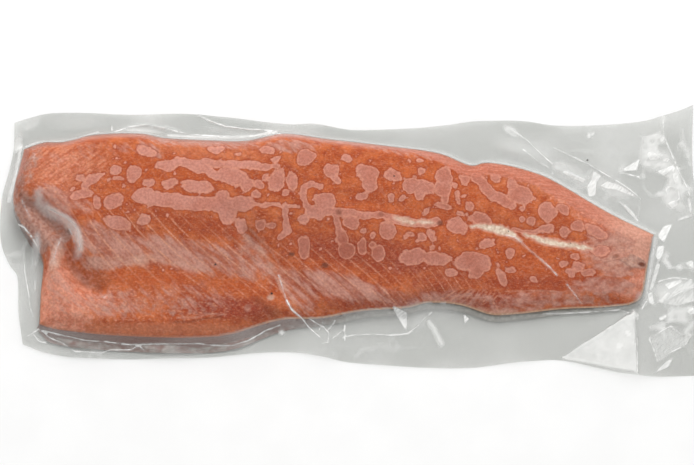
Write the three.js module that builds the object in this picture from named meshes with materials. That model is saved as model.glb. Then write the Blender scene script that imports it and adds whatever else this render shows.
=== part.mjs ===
// A side of salmon, vacuum-sealed in a clear pouch and lying flesh side up.
// The pouch and what it holds are one solid: a mound with the fillet's form, ringed by a thin wavy margin.
// Millimetres, +X from the head end to the tail, +Y from the belly edge to the back edge, +Z up.
import * as THREE from "three";

// Driving dimensions
const FILLET_LENGTH = 466;
const FILLET_WIDTH = 157;
const THICKEST = 27;
const MARGIN_THICKNESS = 0.5;

// Outlines on the table, each a smooth line through a few points, as shares of the fillet's length and width.
// They run from about 0 at the head and belly edges to about 1 at the tail and back edges.
const BACK_EDGE = [
  [0.014, 0.904], [0.045, 0.936], [0.075, 0.938], [0.12, 0.97], [0.2, 0.976], [0.23, 0.957], [0.3, 0.945],
  [0.36, 0.942], [0.42, 0.977], [0.49, 0.952], [0.58, 0.922], [0.665, 0.886], [0.715, 0.829], [0.735, 0.843],
  [0.77, 0.832], [0.825, 0.783], [0.855, 0.736], [0.93, 0.6], [0.998, 0.497],
];
const BELLY_EDGE = [
  [0.041, 0.06], [0.06, 0.04], [0.115, 0.016], [0.17, 0.003], [0.25, -0.006], [0.31, -0.002], [0.345, 0.015],
  [0.385, 0.054], [0.42, 0.08], [0.48, 0.09], [0.545, 0.123], [0.615, 0.14], [0.645, 0.163], [0.695, 0.153],
  [0.745, 0.107], [0.78, 0.11], [0.855, 0.136], [0.92, 0.146], [0.958, 0.158],
];
const HEAD_END = [
  BELLY_EDGE[0], [0.0425, 0.2], [0.0455, 0.365], [0.038, 0.415], [0.017, 0.508],
  [-0.001, 0.63], [0.0, 0.72], [0.008, 0.82], BACK_EDGE[0],
];
const TAIL_END = [
  BELLY_EDGE.at(-1), [0.975, 0.185], [0.982, 0.24], [0.986, 0.31], [0.991, 0.4], BACK_EDGE.at(-1),
];
const POUCH_BACK = [
  [-0.002, 1.045], [0.02, 1.07], [0.055, 1.097], [0.2, 1.089], [0.275, 1.095], [0.33, 1.077], [0.43, 1.043],
  [0.47, 1.046], [0.53, 1.015], [0.63, 1.026], [0.74, 1.057], [0.8, 1.058], [0.86, 1.032], [0.97, 1.053],
  [1.01, 1.067], [1.062, 1.12],
];
const POUCH_FRONT = [
  [0.015, -0.03], [0.05, -0.07], [0.1, -0.094], [0.29, -0.094], [0.4, -0.068], [0.45, -0.073], [0.52, -0.114],
  [0.65, -0.143], [0.71, -0.142], [0.8, -0.112], [0.85, -0.105], [0.91, -0.145], [0.97, -0.185],
  [1.066, -0.178],
];
const POUCH_LEFT = [
  POUCH_FRONT[0], [0.008, 0.12], [0.004, 0.31], [-0.006, 0.35], [-0.0205, 0.46], [-0.0205, 0.68],
  [-0.01, 0.81], [-0.003, 0.92], POUCH_BACK[0],
];
const POUCH_RIGHT = [POUCH_FRONT.at(-1), [1.07, 0.4], [1.06, 0.85], POUCH_BACK.at(-1)];

// Thickness: its greatest value at stations along the fillet, and its share of that across the width.
// Head and tail have a cross profile each, from the belly edge to the back edge.
const CREST = [0.82, 0.97, 1.0, 0.97, 0.86, 0.7, 0.54, 0.42];
const HEAD_PROFILE = [0.5, 0.53, 0.6, 0.75, 0.94, 1.0, 0.97, 0.8];
const TAIL_PROFILE = [0.55, 0.72, 0.88, 0.97, 1.0, 0.95, 0.84, 0.66];
const PROFILE_CHANGE = [0.3, 0.85];

// How the film leaves the fillet: the wall's height at the outline, as a share of the thickness there,
// the width over which the wall rounds into the top, and the width of the skirt that slopes down outside.
const WALL_SHARE = 0.5;
const ROUNDING_WIDTH = 12;
const SKIRT_PER_HEIGHT = 0.45;
const SKIRT_LEAST = 3;

// Folds of the flesh: each follows a path, in shares of the fillet's box, and raises or lowers the surface.
// spread is the half width. Heights and spreads are in millimetres.
const FOLDS = [
  {
    path: [
      [0.03, 0.61], [0.057, 0.534], [0.075, 0.47], [0.083, 0.39], [0.09, 0.32], [0.107, 0.255], [0.13, 0.22],
    ],
    height: -8,
    spread: 8,
  },
  { path: [[0.05, 0.66], [0.09, 0.58], [0.112, 0.5], [0.117, 0.4]], height: 3, spread: 9 },
  { path: [[0.066, 0.42], [0.068, 0.3], [0.095, 0.1]], height: 5, spread: 11 },
  { path: [[0.34, 0.53], [0.42, 0.28], [0.48, 0.08]], height: -3, spread: 11 },
  { path: [[0.52, 0.63], [1.0, 0.38]], height: -1.5, spread: 8 },
];

// Pleats of the margin, in the same terms. They raise both plies of the film together.
const PLEATS = [
  { path: [[0.962, 0.1], [0.964, -0.18]], height: 4.5, spread: 12 },
  { path: [[1.015, 1.06], [1.035, 0.83], [1.06, 0.66]], height: 5, spread: 11 },
  { path: [[0.71, 1.06], [0.8, 0.86]], height: 2.5, spread: 9 },
  { path: [[0.86, 0.98], [0.97, 0.7]], height: 3, spread: 10 },
  { path: [[1.0, 0.3], [1.07, 0.1]], height: 2.5, spread: 10 },
  { path: [[0.48, 0.06], [0.49, -0.06]], height: 3, spread: 9 },
  { path: [[0.02, 0.95], [-0.01, 1.06]], height: 2, spread: 9 },
];
const MARGIN_WAVE = 0.9;
const MARGIN_WAVE_LENGTH = 62;
const LIFT_START = 3;
const LIFT_FULL = 14;
const CURLED_CORNER = { at: [1.062, 1.12], height: 9, reach: 42 };

// Steps of the mesh: margin, fillet and margin along the length, and across the width
const STEPS_ALONG = [4, 76, 8];
const STEPS_ACROSS = [6, 22, 7];
const CROWDING = 1.4;
const EDGE_CROWDING = 0.35;
const OUTLINE_STEPS = 200;

const place = ([along, across]) => new THREE.Vector3(along * FILLET_LENGTH, across * FILLET_WIDTH, 0);
const smoothLine = (points) => new THREE.CatmullRomCurve3(points.map(place));
const backEdge = smoothLine(BACK_EDGE);
const bellyEdge = smoothLine(BELLY_EDGE);
const headEnd = smoothLine(HEAD_END);
const tailEnd = smoothLine(TAIL_END);
const pouchBack = smoothLine(POUCH_BACK);
const pouchFront = smoothLine(POUCH_FRONT);
const pouchLeft = smoothLine(POUCH_LEFT);
const pouchRight = smoothLine(POUCH_RIGHT);

// The fillet's closed outline, anticlockwise from above
const outline = [
  ...bellyEdge.getSpacedPoints(OUTLINE_STEPS).slice(0, -1),
  ...tailEnd.getSpacedPoints(OUTLINE_STEPS / 4).slice(0, -1),
  ...backEdge.getSpacedPoints(OUTLINE_STEPS).reverse().slice(0, -1),
  ...headEnd.getSpacedPoints(OUTLINE_STEPS / 2).reverse().slice(0, -1),
];

const { clamp, lerp, smoothstep } = THREE.MathUtils;

// Distance in the plan from a point to the stretch between two others
function distanceToStretch(p, a, b) {
  const dot = (p.x - a.x) * (b.x - a.x) + (p.y - a.y) * (b.y - a.y);
  const share = clamp(dot / a.distanceToSquared(b), 0, 1);
  return Math.hypot(p.x - lerp(a.x, b.x, share), p.y - lerp(a.y, b.y, share));
}

// Distance in the plan from a point to the fillet's outline: positive inside, negative outside
function depthInside(p) {
  let nearest = Infinity;
  let inside = false;
  outline.forEach((a, i) => {
    const b = outline[(i + 1) % outline.length];
    nearest = Math.min(nearest, distanceToStretch(p, a, b));
    if (a.y > p.y !== b.y > p.y && p.x < a.x + ((p.y - a.y) * (b.x - a.x)) / (b.y - a.y)) inside = !inside;
  });
  return inside ? nearest : -nearest;
}

// A smooth curve through an even list of values, read at a share of its length
function smoothValues(values) {
  const curve = new THREE.SplineCurve(values.map((value, i) => new THREE.Vector2(i, value)));
  return (share) => curve.getPoint(clamp(share, 0, 1)).y;
}

// The y of an edge at any x, for the share of the width
function edgeReader(edge) {
  const points = edge.getPoints(OUTLINE_STEPS);
  return (x) => {
    const next = points.findIndex((p) => p.x >= x);
    if (next <= 0) return next === 0 ? points[0].y : points.at(-1).y;
    const share = (x - points[next - 1].x) / (points[next].x - points[next - 1].x);
    return lerp(points[next - 1].y, points[next].y, share);
  };
}

const crestAt = smoothValues(CREST);
const headProfileAt = smoothValues(HEAD_PROFILE);
const tailProfileAt = smoothValues(TAIL_PROFILE);
const bellyY = edgeReader(bellyEdge);
const backY = edgeReader(backEdge);

// The fillet's thickness at a point of the plan, before its edges are rounded
function thickness(p) {
  const along = clamp(p.x / FILLET_LENGTH, 0, 1);
  const across = clamp((p.y - bellyY(p.x)) / (backY(p.x) - bellyY(p.x)), 0, 1);
  const profile = lerp(headProfileAt(across), tailProfileAt(across), smoothstep(along, ...PROFILE_CHANGE));
  return THICKEST * crestAt(along) * profile;
}

// What a list of folds adds to the height at a point
function foldHeight(folds, p) {
  return folds.reduce((sum, { path, height, spread }) => {
    const points = path.map(place);
    const distances = points.slice(1).map((end, i) => distanceToStretch(p, points[i], end));
    const away = Math.min(...distances) / spread;
    return sum + height * Math.exp(-away * away);
  }, 0);
}

// How far the margin's underside is off the table
function marginLift(p, outside) {
  const turns = (2 * Math.PI) / MARGIN_WAVE_LENGTH;
  const ripple = Math.sin(turns * (p.x + 0.4 * p.y)) * Math.cos(0.7 * turns * (p.y - 0.3 * p.x));
  const curl = 1 - clamp(p.distanceTo(place(CURLED_CORNER.at)) / CURLED_CORNER.reach, 0, 1);
  const raised = MARGIN_WAVE * (1 + ripple) + foldHeight(PLEATS, p) + CURLED_CORNER.height * curl * curl;
  return raised * smoothstep(outside, LIFT_START, LIFT_FULL);
}

// Underside and top of the pouch at a point of the plan
function levels(p) {
  const depth = depthInside(p);
  const outside = Math.max(-depth, 0);
  const under = marginLift(p, outside);
  const full = Math.max(thickness(p) + foldHeight(FOLDS, p), 2 * MARGIN_THICKNESS);
  const wall = WALL_SHARE * full;
  if (depth > 0) {
    const rounding = 1 - (1 - clamp(depth / ROUNDING_WIDTH, 0, 1)) ** 2;
    return { under, top: MARGIN_THICKNESS + lerp(wall, full, rounding) };
  }
  const skirt = 1 - clamp(outside / (SKIRT_LEAST + SKIRT_PER_HEIGHT * wall), 0, 1);
  return { under, top: under + MARGIN_THICKNESS + wall * skirt * skirt };
}

// The share along a line where its x, or y, reaches a value
function shareAt(line, axis, value) {
  let low = 0;
  let high = 1;
  for (let halving = 0; halving < 40; halving++) {
    const middle = (low + high) / 2;
    if (line.getPointAt(middle)[axis] < value) low = middle;
    else high = middle;
  }
  return low;
}

const straight = (a, b) => (share) => a.clone().lerp(b, share);
const stretchOf = (line, from, to) => (share) => line.getPointAt(lerp(from, to, share));

// A patch of the plan between four lines: front and back run along the length, left and right across it
function patch(front, back, left, right) {
  return (along, across) => {
    const between = front(along).lerp(back(along), across);
    const corners = front(0).lerp(front(1), along).lerp(back(0).lerp(back(1), along), across);
    return between.add(left(across).lerp(right(across), along)).sub(corners);
  };
}

// The plan as nine patches: the fillet in the middle, and the margin round it
function planPatches() {
  const edges = [bellyEdge, backEdge];
  const ends = [headEnd, tailEnd];
  const corner = (edge, end) => edges[edge].getPoint(end);

  // Shares along each side of the pouch that lie level with the fillet's corners
  const level = (side, axis, points) => [0, ...points.map((p) => shareAt(side, axis, p[axis])), 1];
  const frontAt = level(pouchFront, "x", [corner(0, 0), corner(0, 1)]);
  const backAt = level(pouchBack, "x", [corner(1, 0), corner(1, 1)]);
  const leftAt = level(pouchLeft, "y", [corner(0, 0), corner(1, 0)]);
  const rightAt = level(pouchRight, "y", [corner(0, 1), corner(1, 1)]);

  // Each line has three stretches. An edge or end of the fillet is carried on straight to the pouch's sides.
  const sideRun = (side, at) => [0, 1, 2].map((i) => stretchOf(side, at[i], at[i + 1]));
  const edgeRun = (edge) => [
    straight(pouchLeft.getPointAt(leftAt[edge + 1]), corner(edge, 0)),
    stretchOf(edges[edge], 0, 1),
    straight(corner(edge, 1), pouchRight.getPointAt(rightAt[edge + 1])),
  ];
  const endRun = (end) => [
    straight(pouchFront.getPointAt(frontAt[end + 1]), corner(0, end)),
    stretchOf(ends[end], 0, 1),
    straight(corner(1, end), pouchBack.getPointAt(backAt[end + 1])),
  ];
  const rows = [sideRun(pouchFront, frontAt), edgeRun(0), edgeRun(1), sideRun(pouchBack, backAt)];
  const columns = [sideRun(pouchLeft, leftAt), endRun(0), endRun(1), sideRun(pouchRight, rightAt)];
  const patchAt = (i, j) => patch(rows[j][i], rows[j + 1][i], columns[i][j], columns[i + 1][j]);
  return [0, 1, 2].map((i) => [0, 1, 2].map((j) => patchAt(i, j)));
}

// For each grid line: its patch and its share across that patch
function gridLines(steps) {
  const linesOf = (count, index) => Array.from({ length: count }, (_, k) => ({ index, share: k / count }));
  return [...steps.flatMap(linesOf), { index: steps.length - 1, share: 1 }];
}

// Lines of the margin crowd towards the fillet, where the skirt bends, and the fillet's towards its edges
function crowded({ index, share }) {
  if (index === 0) return 1 - (1 - share) ** CROWDING;
  if (index === 2) return share ** CROWDING;
  return lerp(share, smoothstep(share, 0, 1), EDGE_CROWDING);
}

function sealedPouch() {
  const patches = planPatches();
  const along = gridLines(STEPS_ALONG);
  const across = gridLines(STEPS_ACROSS);
  const positions = [];
  const triangles = [];
  const addPoint = (p, z) => positions.push(p.x, p.y, z) / 3 - 1;
  const addQuad = (a, b, c, d) => triangles.push(a, b, c, a, c, d);

  // The top everywhere, and the underside round the fillet
  const inFillet = (line) => line.index === 1 && line.share > 0;
  const tops = [];
  const undersides = [];
  along.forEach((column) => {
    tops.push([]);
    undersides.push([]);
    across.forEach((row) => {
      const p = patches[column.index][row.index](crowded(column), crowded(row));
      const { under, top } = levels(p);
      tops.at(-1).push(addPoint(p, top));
      undersides.at(-1).push(inFillet(column) && inFillet(row) ? null : addPoint(p, under));
    });
  });

  // Each quad is split along the diagonal that climbs least, so that its fold follows the surface
  const [lastColumn, lastRow] = [along.length - 1, across.length - 1];
  const height = (index) => positions[3 * index + 2];
  for (let i = 0; i < lastColumn; i++) {
    for (let j = 0; j < lastRow; j++) {
      const ring = [[i, j], [i + 1, j], [i + 1, j + 1], [i, j + 1]];
      const [a, b, c, d] = ring.map(([k, l]) => height(tops[k][l]));
      if (Math.abs(a - c) > Math.abs(b - d)) ring.push(ring.shift());
      addQuad(...ring.map(([k, l]) => tops[k][l]));
      if (along[i].index === 1 && across[j].index === 1) continue;
      const [first, ...others] = ring.map(([k, l]) => undersides[k][l]);
      addQuad(first, ...others.reverse());
    }
  }

  // The cut edge of the pouch
  const addEdge = ([i, j], [k, l]) => addQuad(undersides[i][j], undersides[k][l], tops[k][l], tops[i][j]);
  for (let i = 0; i < lastColumn; i++) {
    addEdge([i, 0], [i + 1, 0]);
    addEdge([i + 1, lastRow], [i, lastRow]);
  }
  for (let j = 0; j < lastRow; j++) {
    addEdge([0, j + 1], [0, j]);
    addEdge([lastColumn, j], [lastColumn, j + 1]);
  }

  // The flat face under the fillet, which the pack rests on
  const [i0, j0] = [STEPS_ALONG[0], STEPS_ACROSS[0]];
  const [i1, j1] = [i0 + STEPS_ALONG[1], j0 + STEPS_ACROSS[1]];
  const rim = [];
  for (let i = i0; i < i1; i++) rim.push(undersides[i][j0]);
  for (let j = j0; j < j1; j++) rim.push(undersides[i1][j]);
  for (let i = i1; i > i0; i--) rim.push(undersides[i][j1]);
  for (let j = j1; j > j0; j--) rim.push(undersides[i0][j]);
  const flat = rim.map((index) => new THREE.Vector2(positions[3 * index], positions[3 * index + 1]));
  for (const [a, b, c] of THREE.ShapeUtils.triangulateShape(flat, [])) triangles.push(rim[a], rim[c], rim[b]);

  const geometry = new THREE.BufferGeometry();
  geometry.setAttribute("position", new THREE.Float32BufferAttribute(positions, 3));
  geometry.setIndex(triangles);
  geometry.computeVertexNormals();
  return geometry;
}

// The origin is under the middle of the pouch, on the table
const geometry = sealedPouch();
geometry.computeBoundingBox();
const middle = geometry.boundingBox.getCenter(new THREE.Vector3());
geometry.translate(-middle.x, -middle.y, 0);

const pouch = new THREE.Mesh(
  geometry,
  new THREE.MeshStandardMaterial({ color: "#c4724e", roughness: 0.25, metalness: 0 }),
);
pouch.name = "sealed_pouch";

const pack = new THREE.Group();
pack.add(pouch);

export default pack;
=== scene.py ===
import math

import bpy
import numpy as np
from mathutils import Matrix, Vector


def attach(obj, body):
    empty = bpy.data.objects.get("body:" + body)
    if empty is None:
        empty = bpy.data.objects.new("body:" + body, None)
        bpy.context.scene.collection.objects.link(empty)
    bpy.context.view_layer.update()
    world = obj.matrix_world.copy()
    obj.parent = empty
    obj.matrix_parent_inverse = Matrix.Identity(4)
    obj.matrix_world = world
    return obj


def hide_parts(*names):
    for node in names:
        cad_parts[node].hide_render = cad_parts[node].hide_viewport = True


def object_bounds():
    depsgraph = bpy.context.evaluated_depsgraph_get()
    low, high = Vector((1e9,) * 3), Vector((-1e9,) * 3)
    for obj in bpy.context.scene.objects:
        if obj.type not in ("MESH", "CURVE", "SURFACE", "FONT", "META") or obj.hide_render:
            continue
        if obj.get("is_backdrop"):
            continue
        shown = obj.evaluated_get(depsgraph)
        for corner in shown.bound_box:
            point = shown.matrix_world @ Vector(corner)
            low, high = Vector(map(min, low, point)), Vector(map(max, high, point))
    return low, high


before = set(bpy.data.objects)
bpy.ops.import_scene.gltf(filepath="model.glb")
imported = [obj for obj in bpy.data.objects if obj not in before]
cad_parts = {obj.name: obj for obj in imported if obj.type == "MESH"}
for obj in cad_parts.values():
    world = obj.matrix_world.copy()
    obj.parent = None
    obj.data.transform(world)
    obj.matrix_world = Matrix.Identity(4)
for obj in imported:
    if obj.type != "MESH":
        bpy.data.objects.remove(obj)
cad_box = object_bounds()

# Sizes, the same as the solid's
FILLET_LENGTH = 466
FILLET_WIDTH = 157
THICKEST = 27
MARGIN_THICKNESS = 0.5
METRES = 0.001

# Outlines on the table, each a smooth line through a few points, as shares of the fillet's length and width.
# The fillet's are cut into steps of this length.
OUTLINE_STEP = 2.5
BACK_EDGE = [
    (0.014, 0.904), (0.045, 0.936), (0.075, 0.938), (0.12, 0.97), (0.2, 0.976), (0.23, 0.957), (0.3, 0.945),
    (0.36, 0.942), (0.42, 0.977), (0.49, 0.952), (0.58, 0.922), (0.665, 0.886), (0.715, 0.829),
    (0.735, 0.843), (0.77, 0.832), (0.825, 0.783), (0.855, 0.736), (0.93, 0.6), (0.998, 0.497),
]
BELLY_EDGE = [
    (0.041, 0.06), (0.06, 0.04), (0.115, 0.016), (0.17, 0.003), (0.25, -0.006), (0.31, -0.002),
    (0.345, 0.015), (0.385, 0.054), (0.42, 0.08), (0.48, 0.09), (0.545, 0.123), (0.615, 0.14),
    (0.645, 0.163), (0.695, 0.153), (0.745, 0.107), (0.78, 0.11), (0.855, 0.136), (0.92, 0.146),
    (0.958, 0.158),
]
HEAD_END = [
    BELLY_EDGE[0], (0.0425, 0.2), (0.0455, 0.365), (0.038, 0.415), (0.017, 0.508),
    (-0.001, 0.63), (0.0, 0.72), (0.008, 0.82), BACK_EDGE[0],
]
TAIL_END = [
    BELLY_EDGE[-1], (0.975, 0.185), (0.982, 0.24), (0.986, 0.31), (0.991, 0.4), BACK_EDGE[-1],
]
POUCH_BACK = [
    (-0.002, 1.045), (0.02, 1.07), (0.055, 1.097), (0.2, 1.089), (0.275, 1.095), (0.33, 1.077),
    (0.43, 1.043), (0.47, 1.046), (0.53, 1.015), (0.63, 1.026), (0.74, 1.057), (0.8, 1.058), (0.86, 1.032),
    (0.97, 1.053), (1.01, 1.067), (1.062, 1.12),
]
POUCH_FRONT = [
    (0.015, -0.03), (0.05, -0.07), (0.1, -0.094), (0.29, -0.094), (0.4, -0.068), (0.45, -0.073),
    (0.52, -0.114), (0.65, -0.143), (0.71, -0.142), (0.8, -0.112), (0.85, -0.105), (0.91, -0.145),
    (0.97, -0.185), (1.066, -0.178),
]
POUCH_LEFT = [
    POUCH_FRONT[0], (0.008, 0.12), (0.004, 0.31), (-0.006, 0.35), (-0.0205, 0.46), (-0.0205, 0.68),
    (-0.01, 0.81), (-0.003, 0.92), POUCH_BACK[0],
]
POUCH_RIGHT = [POUCH_FRONT[-1], (1.07, 0.4), (1.06, 0.85), POUCH_BACK[-1]]

# Thickness along the fillet, and its share across the width at the head and at the tail
CREST = [0.82, 0.97, 1.0, 0.97, 0.86, 0.7, 0.54, 0.42]
HEAD_PROFILE = [0.5, 0.53, 0.6, 0.75, 0.94, 1.0, 0.97, 0.8]
TAIL_PROFILE = [0.55, 0.72, 0.88, 0.97, 1.0, 0.95, 0.84, 0.66]
PROFILE_CHANGE = (0.3, 0.85)

# How the film leaves the fillet
WALL_SHARE = 0.5
ROUNDING_WIDTH = 12
SKIRT_PER_HEIGHT = 0.45
SKIRT_LEAST = 3

# Folds of the flesh and pleats of the margin: path in shares of the fillet's box, height and spread
FOLDS = [
    ([(0.03, 0.61), (0.057, 0.534), (0.075, 0.47), (0.083, 0.39), (0.09, 0.32), (0.107, 0.255),
      (0.13, 0.22)], -8, 8),
    ([(0.05, 0.66), (0.09, 0.58), (0.112, 0.5), (0.117, 0.4)], 3, 9),
    ([(0.066, 0.42), (0.068, 0.3), (0.095, 0.1)], 5, 11),
    ([(0.34, 0.53), (0.42, 0.28), (0.48, 0.08)], -3, 11),
    ([(0.52, 0.63), (1.0, 0.38)], -1.5, 8),
]
PLEATS = [
    ([(0.962, 0.1), (0.964, -0.18)], 4.5, 12),
    ([(1.015, 1.06), (1.035, 0.83), (1.06, 0.66)], 5, 11),
    ([(0.71, 1.06), (0.8, 0.86)], 2.5, 9),
    ([(0.86, 0.98), (0.97, 0.7)], 3, 10),
    ([(1.0, 0.3), (1.07, 0.1)], 2.5, 10),
    ([(0.48, 0.06), (0.49, -0.06)], 3, 9),
    ([(0.02, 0.95), (-0.01, 1.06)], 2, 9),
]
MARGIN_WAVE = 0.9
MARGIN_WAVE_LENGTH = 62
WAVE_LEAN = 0.4
CROSS_WAVE_LEAN = 0.3
CROSS_WAVE_RATE = 0.7
LIFT_START = 3
LIFT_FULL = 14
CURLED_CORNER = (1.062, 1.12)
CURL_HEIGHT = 9
CURL_REACH = 42

# The photograph's frame in pixels, millimetres to a pixel, the point of the plan at its middle, and the line
# of sight, whose meeting with the pack is found in a few steps
PHOTO_SIZE = (694, 465)
PHOTO_SCALE = 0.728
LOOK_AT = (242, 81)
VIEW_ELEVATION = math.radians(72)
SIGHT_STEPS = 4
CAMERA_DISTANCE = 6000
CAMERA_CLIP = 50
SENSOR_WIDTH = 36

# Film: thickness of a ply, the gap between film and flesh, and the grid's steps
PLY = 0.15
FLESH_BELOW_FILM = 0.4
FILM_COLUMNS = 342
FILM_ROWS = 140
SNAP_SHARE = 0.45

# Fillet: steps of its mesh, the height of its underside over the table and the least gap to the film. Its
# front wall reaches over a share of the film's skirt that changes along its length, past the skirt's foot
# where the share is over 1: a dark sheet under the film that stands in for the shadow in front of the
# fillet. The wall that faces the back has none.
FILLET_COLUMNS = 440
FILLET_ROWS = 146
FILLET_UNDERSIDE = 0.25
FILM_GAP = 0.05
WALL_RINGS = 8
SHARP_ANGLE = math.radians(70)
WALL_STATIONS = (0, 0.036, 0.06, 0.36, 0.44, 0.58, 0.75, 1)
WALL_FOLLOWS = (0.3, 0.5, 1.7, 1.7, 1.0, 0.6, 0.75, 0.5)

# Air pockets between film and flesh, in pixels of the photograph: middle, half sizes, tilt in degrees
AIR_POCKETS = [
    (116, 171, 6, 5, 20), (134, 174, 8, 8.5, 0), (119, 180, 6, 2, 0), (149, 183, 6, 4.5, 25),
    (172, 183, 8, 4, 15), (199, 186, 16.5, 6.5, -12), (94, 179, 8, 4.5, 25), (82, 178, 6, 3, -10),
    (88, 185, 4, 3.5, 30), (73, 188, 4, 2.2, 20), (87, 193, 8, 4.5, 0), (77, 195, 7, 4, 10),
    (97, 202, 4, 6.5, 0), (115, 201, 11, 6.5, 15), (119, 224, 15, 6, -20), (144, 219, 6.5, 5, 25),
    (146, 152, 10, 5, -20), (166, 167, 11, 5, -5), (217, 149, 9, 4.5, -5), (227, 212, 9, 12, 0),
    (223, 198, 8, 7, 0), (240, 204, 13, 8, 0), (232, 176, 17, 9, -10), (247, 185, 7, 6, 0),
    (256, 196, 5, 4, 0), (259, 185, 5.5, 5, -20), (265, 177, 3.5, 3.5, 0), (276, 181, 7.5, 11.5, -12),
    (292, 181, 6, 11, 5), (285, 193, 3.5, 3.5, 0), (267, 150, 7, 5, 10), (276, 159, 5, 3, 0),
    (275, 166, 5, 3, 0), (306, 157, 10, 9, 20), (261, 225, 4.5, 6, 0), (271, 226, 5, 4, 0),
    (240, 226, 7, 6, -30), (315, 213, 10, 7.5, 0), (326, 202, 10, 9.5, 0), (304, 220, 5, 5.5, 0),
    (305, 246, 6.5, 10.5, 5), (332, 170, 8.5, 8, 0), (335, 179, 4, 5, 0), (347, 159, 4.5, 4.5, 0),
    (367, 172, 12, 8, -5), (371, 182, 7.5, 11, 0), (362, 196, 6.5, 5, 20), (392, 175, 9, 6, -10),
    (390, 197.5, 3.7, 3.5, 0), (404, 197, 3, 3, 0), (422, 171.5, 4, 3.5, 0), (421, 161, 3.5, 2.5, 0),
    (412, 185, 9.5, 8.5, 0), (425, 187, 11, 7.5, 0), (419, 194, 6, 6.5, 0), (444, 175, 9, 10, 0),
    (443, 189, 8, 9, 0), (444, 198, 3.5, 4, 0), (465, 179, 5, 4.5, 0), (454, 184, 3, 3, 0),
    (443, 206, 8.5, 3.5, -10), (470, 205, 5.5, 4, -45), (459, 213, 3.5, 3, 0), (425.6, 212, 3, 3.5, 0),
    (364, 230, 2.7, 3, 0), (373, 236, 3, 3, 0), (373, 244, 3, 3, 0), (388, 231, 8.8, 8.4, 0),
    (409, 234, 4, 3.5, 0), (420.5, 235, 4.5, 4, 0), (431, 235, 4, 6.5, 10), (431, 245, 3, 1.5, 0),
    (341, 238, 6, 9, 15), (347, 250, 8, 8, 30), (362.5, 247, 5.5, 8, 5), (379, 252.5, 7, 7.5, 0),
    (412, 256, 15, 7, 5), (435, 258, 15, 7, -5), (472, 262, 19, 10, -5), (476, 273, 6, 6, 0),
    (451, 273, 6, 5, 0), (487, 244, 9, 4.5, 15), (457, 226, 12, 7.5, -25), (351, 222, 9, 6, 0),
    (496, 179, 5, 5, 0), (521, 194, 13, 10, -15), (511, 184, 5, 5, 0), (522, 208, 3.5, 3.5, 0),
    (523, 219, 3.5, 3.3, 0), (532.5, 221.5, 5, 4.5, 0), (547.6, 212, 8.5, 10, 0), (563, 210, 6.5, 6, -20),
    (577.6, 226, 6.5, 5.5, 0), (565, 232, 5, 5, 0), (546, 229, 7, 5, 10), (596, 232, 12, 6, -20),
    (574, 256, 5, 4, 0), (563, 264, 4, 3.8, 0), (578, 266, 6.5, 5, 0), (570, 272, 4, 4, 0),
    (588, 273, 7, 4, 0), (509, 253, 4, 4.5, 0), (509, 269, 5, 3.5, 0), (500.5, 277, 4, 9, 20),
    (534, 279, 4, 3.5, 0), (480, 220, 12, 6, -15), (600, 251, 9, 6, 0),
]

# Longer air pockets: a path in pixels and the half width
AIR_BANDS = [
    ([(158, 166), (185, 162), (222, 163), (268, 166.5)], 3.8),
    ([(185, 162), (205, 169), (216, 175)], 5),
    ([(141, 196), (194, 203), (232, 207)], 7.5),
    ([(245, 205), (300, 206)], 1.6),
    ([(286, 206), (286, 222), (288, 231), (281, 236)], 3.2),
    ([(321, 186), (311, 184.5), (305, 188), (304, 198), (309, 207)], 3.4),
    ([(476, 176), (483, 187), (495, 196), (511, 204)], 5.5),
    ([(336, 215), (337, 232)], 3),
    ([(458, 190), (458, 203)], 2),
    ([(512, 230), (530, 232), (546, 230)], 2.5),
    ([(316, 210), (345, 213), (370, 214.5), (390, 217)], 3.6),
    ([(388, 217), (405, 221), (422, 222), (435, 223)], 4.6),
]
POCKET_MERGE = 0.45
POCKET_REACH = (-20, 60)
POCKET_RELIEF = 0.2
POCKET_SLOPE = (-0.5, 1.5)
POCKET_INSET = 6

# Small round pockets, scattered in a box of the plan where there is little frost
SPARE_POCKETS = 420
SPARE_POCKET_DRAWS = 4 * SPARE_POCKETS
SPARE_POCKET_SEED = 11
SPARE_POCKET_BOX = ((0.12, 0.3), (0.97, 0.95))
SPARE_POCKET_RADII = (0.3, 1.3)
SPARE_POCKET_FROST = 0.3

# Random patterns of the plan, each a sum of waves: amount, cell and seed. The warps have one for each axis.
POCKET_WARP = [[(1.5, 7, 21), (0.75, 3, 22)], [(1.5, 7, 31), (0.75, 3, 32)]]
MIDLINE_WARP = [[(0.8, 3, 41)], [(0.8, 3, 42)]]
FLAKE_DRIFT = [(0.9, 18, 51)]
PALE_WAVES = [(0.4, 5, 71), (0.3, 2, 72)]
FADE_WAVES = [(0.55, 11, 73)]
FLESH_GRAIN = [(0.08, 2.2, 81)]
HAZE_WAVES = [(0.5, 24, 91)]

# The pale line of connective tissue along the middle, in separate lengths: pixels and half width
MIDLINE = [
    [(394, 217, 2.2), (403, 220, 4.5), (411, 222, 4.2), (416, 222, 2), (423, 222, 3.8), (430, 222, 2.6),
     (436, 223, 1)],
    [(470, 226, 2), (480, 226, 3.6), (491, 228, 5), (501, 230, 6.2), (509, 233, 4.8), (516, 237, 2.5),
     (522, 241, 1)],
    [(524, 234, 2.2), (533, 237, 3.4), (545, 241, 4), (556, 243, 4), (570, 245, 4), (582, 247, 3.6),
     (591, 249, 2)],
]

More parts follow.
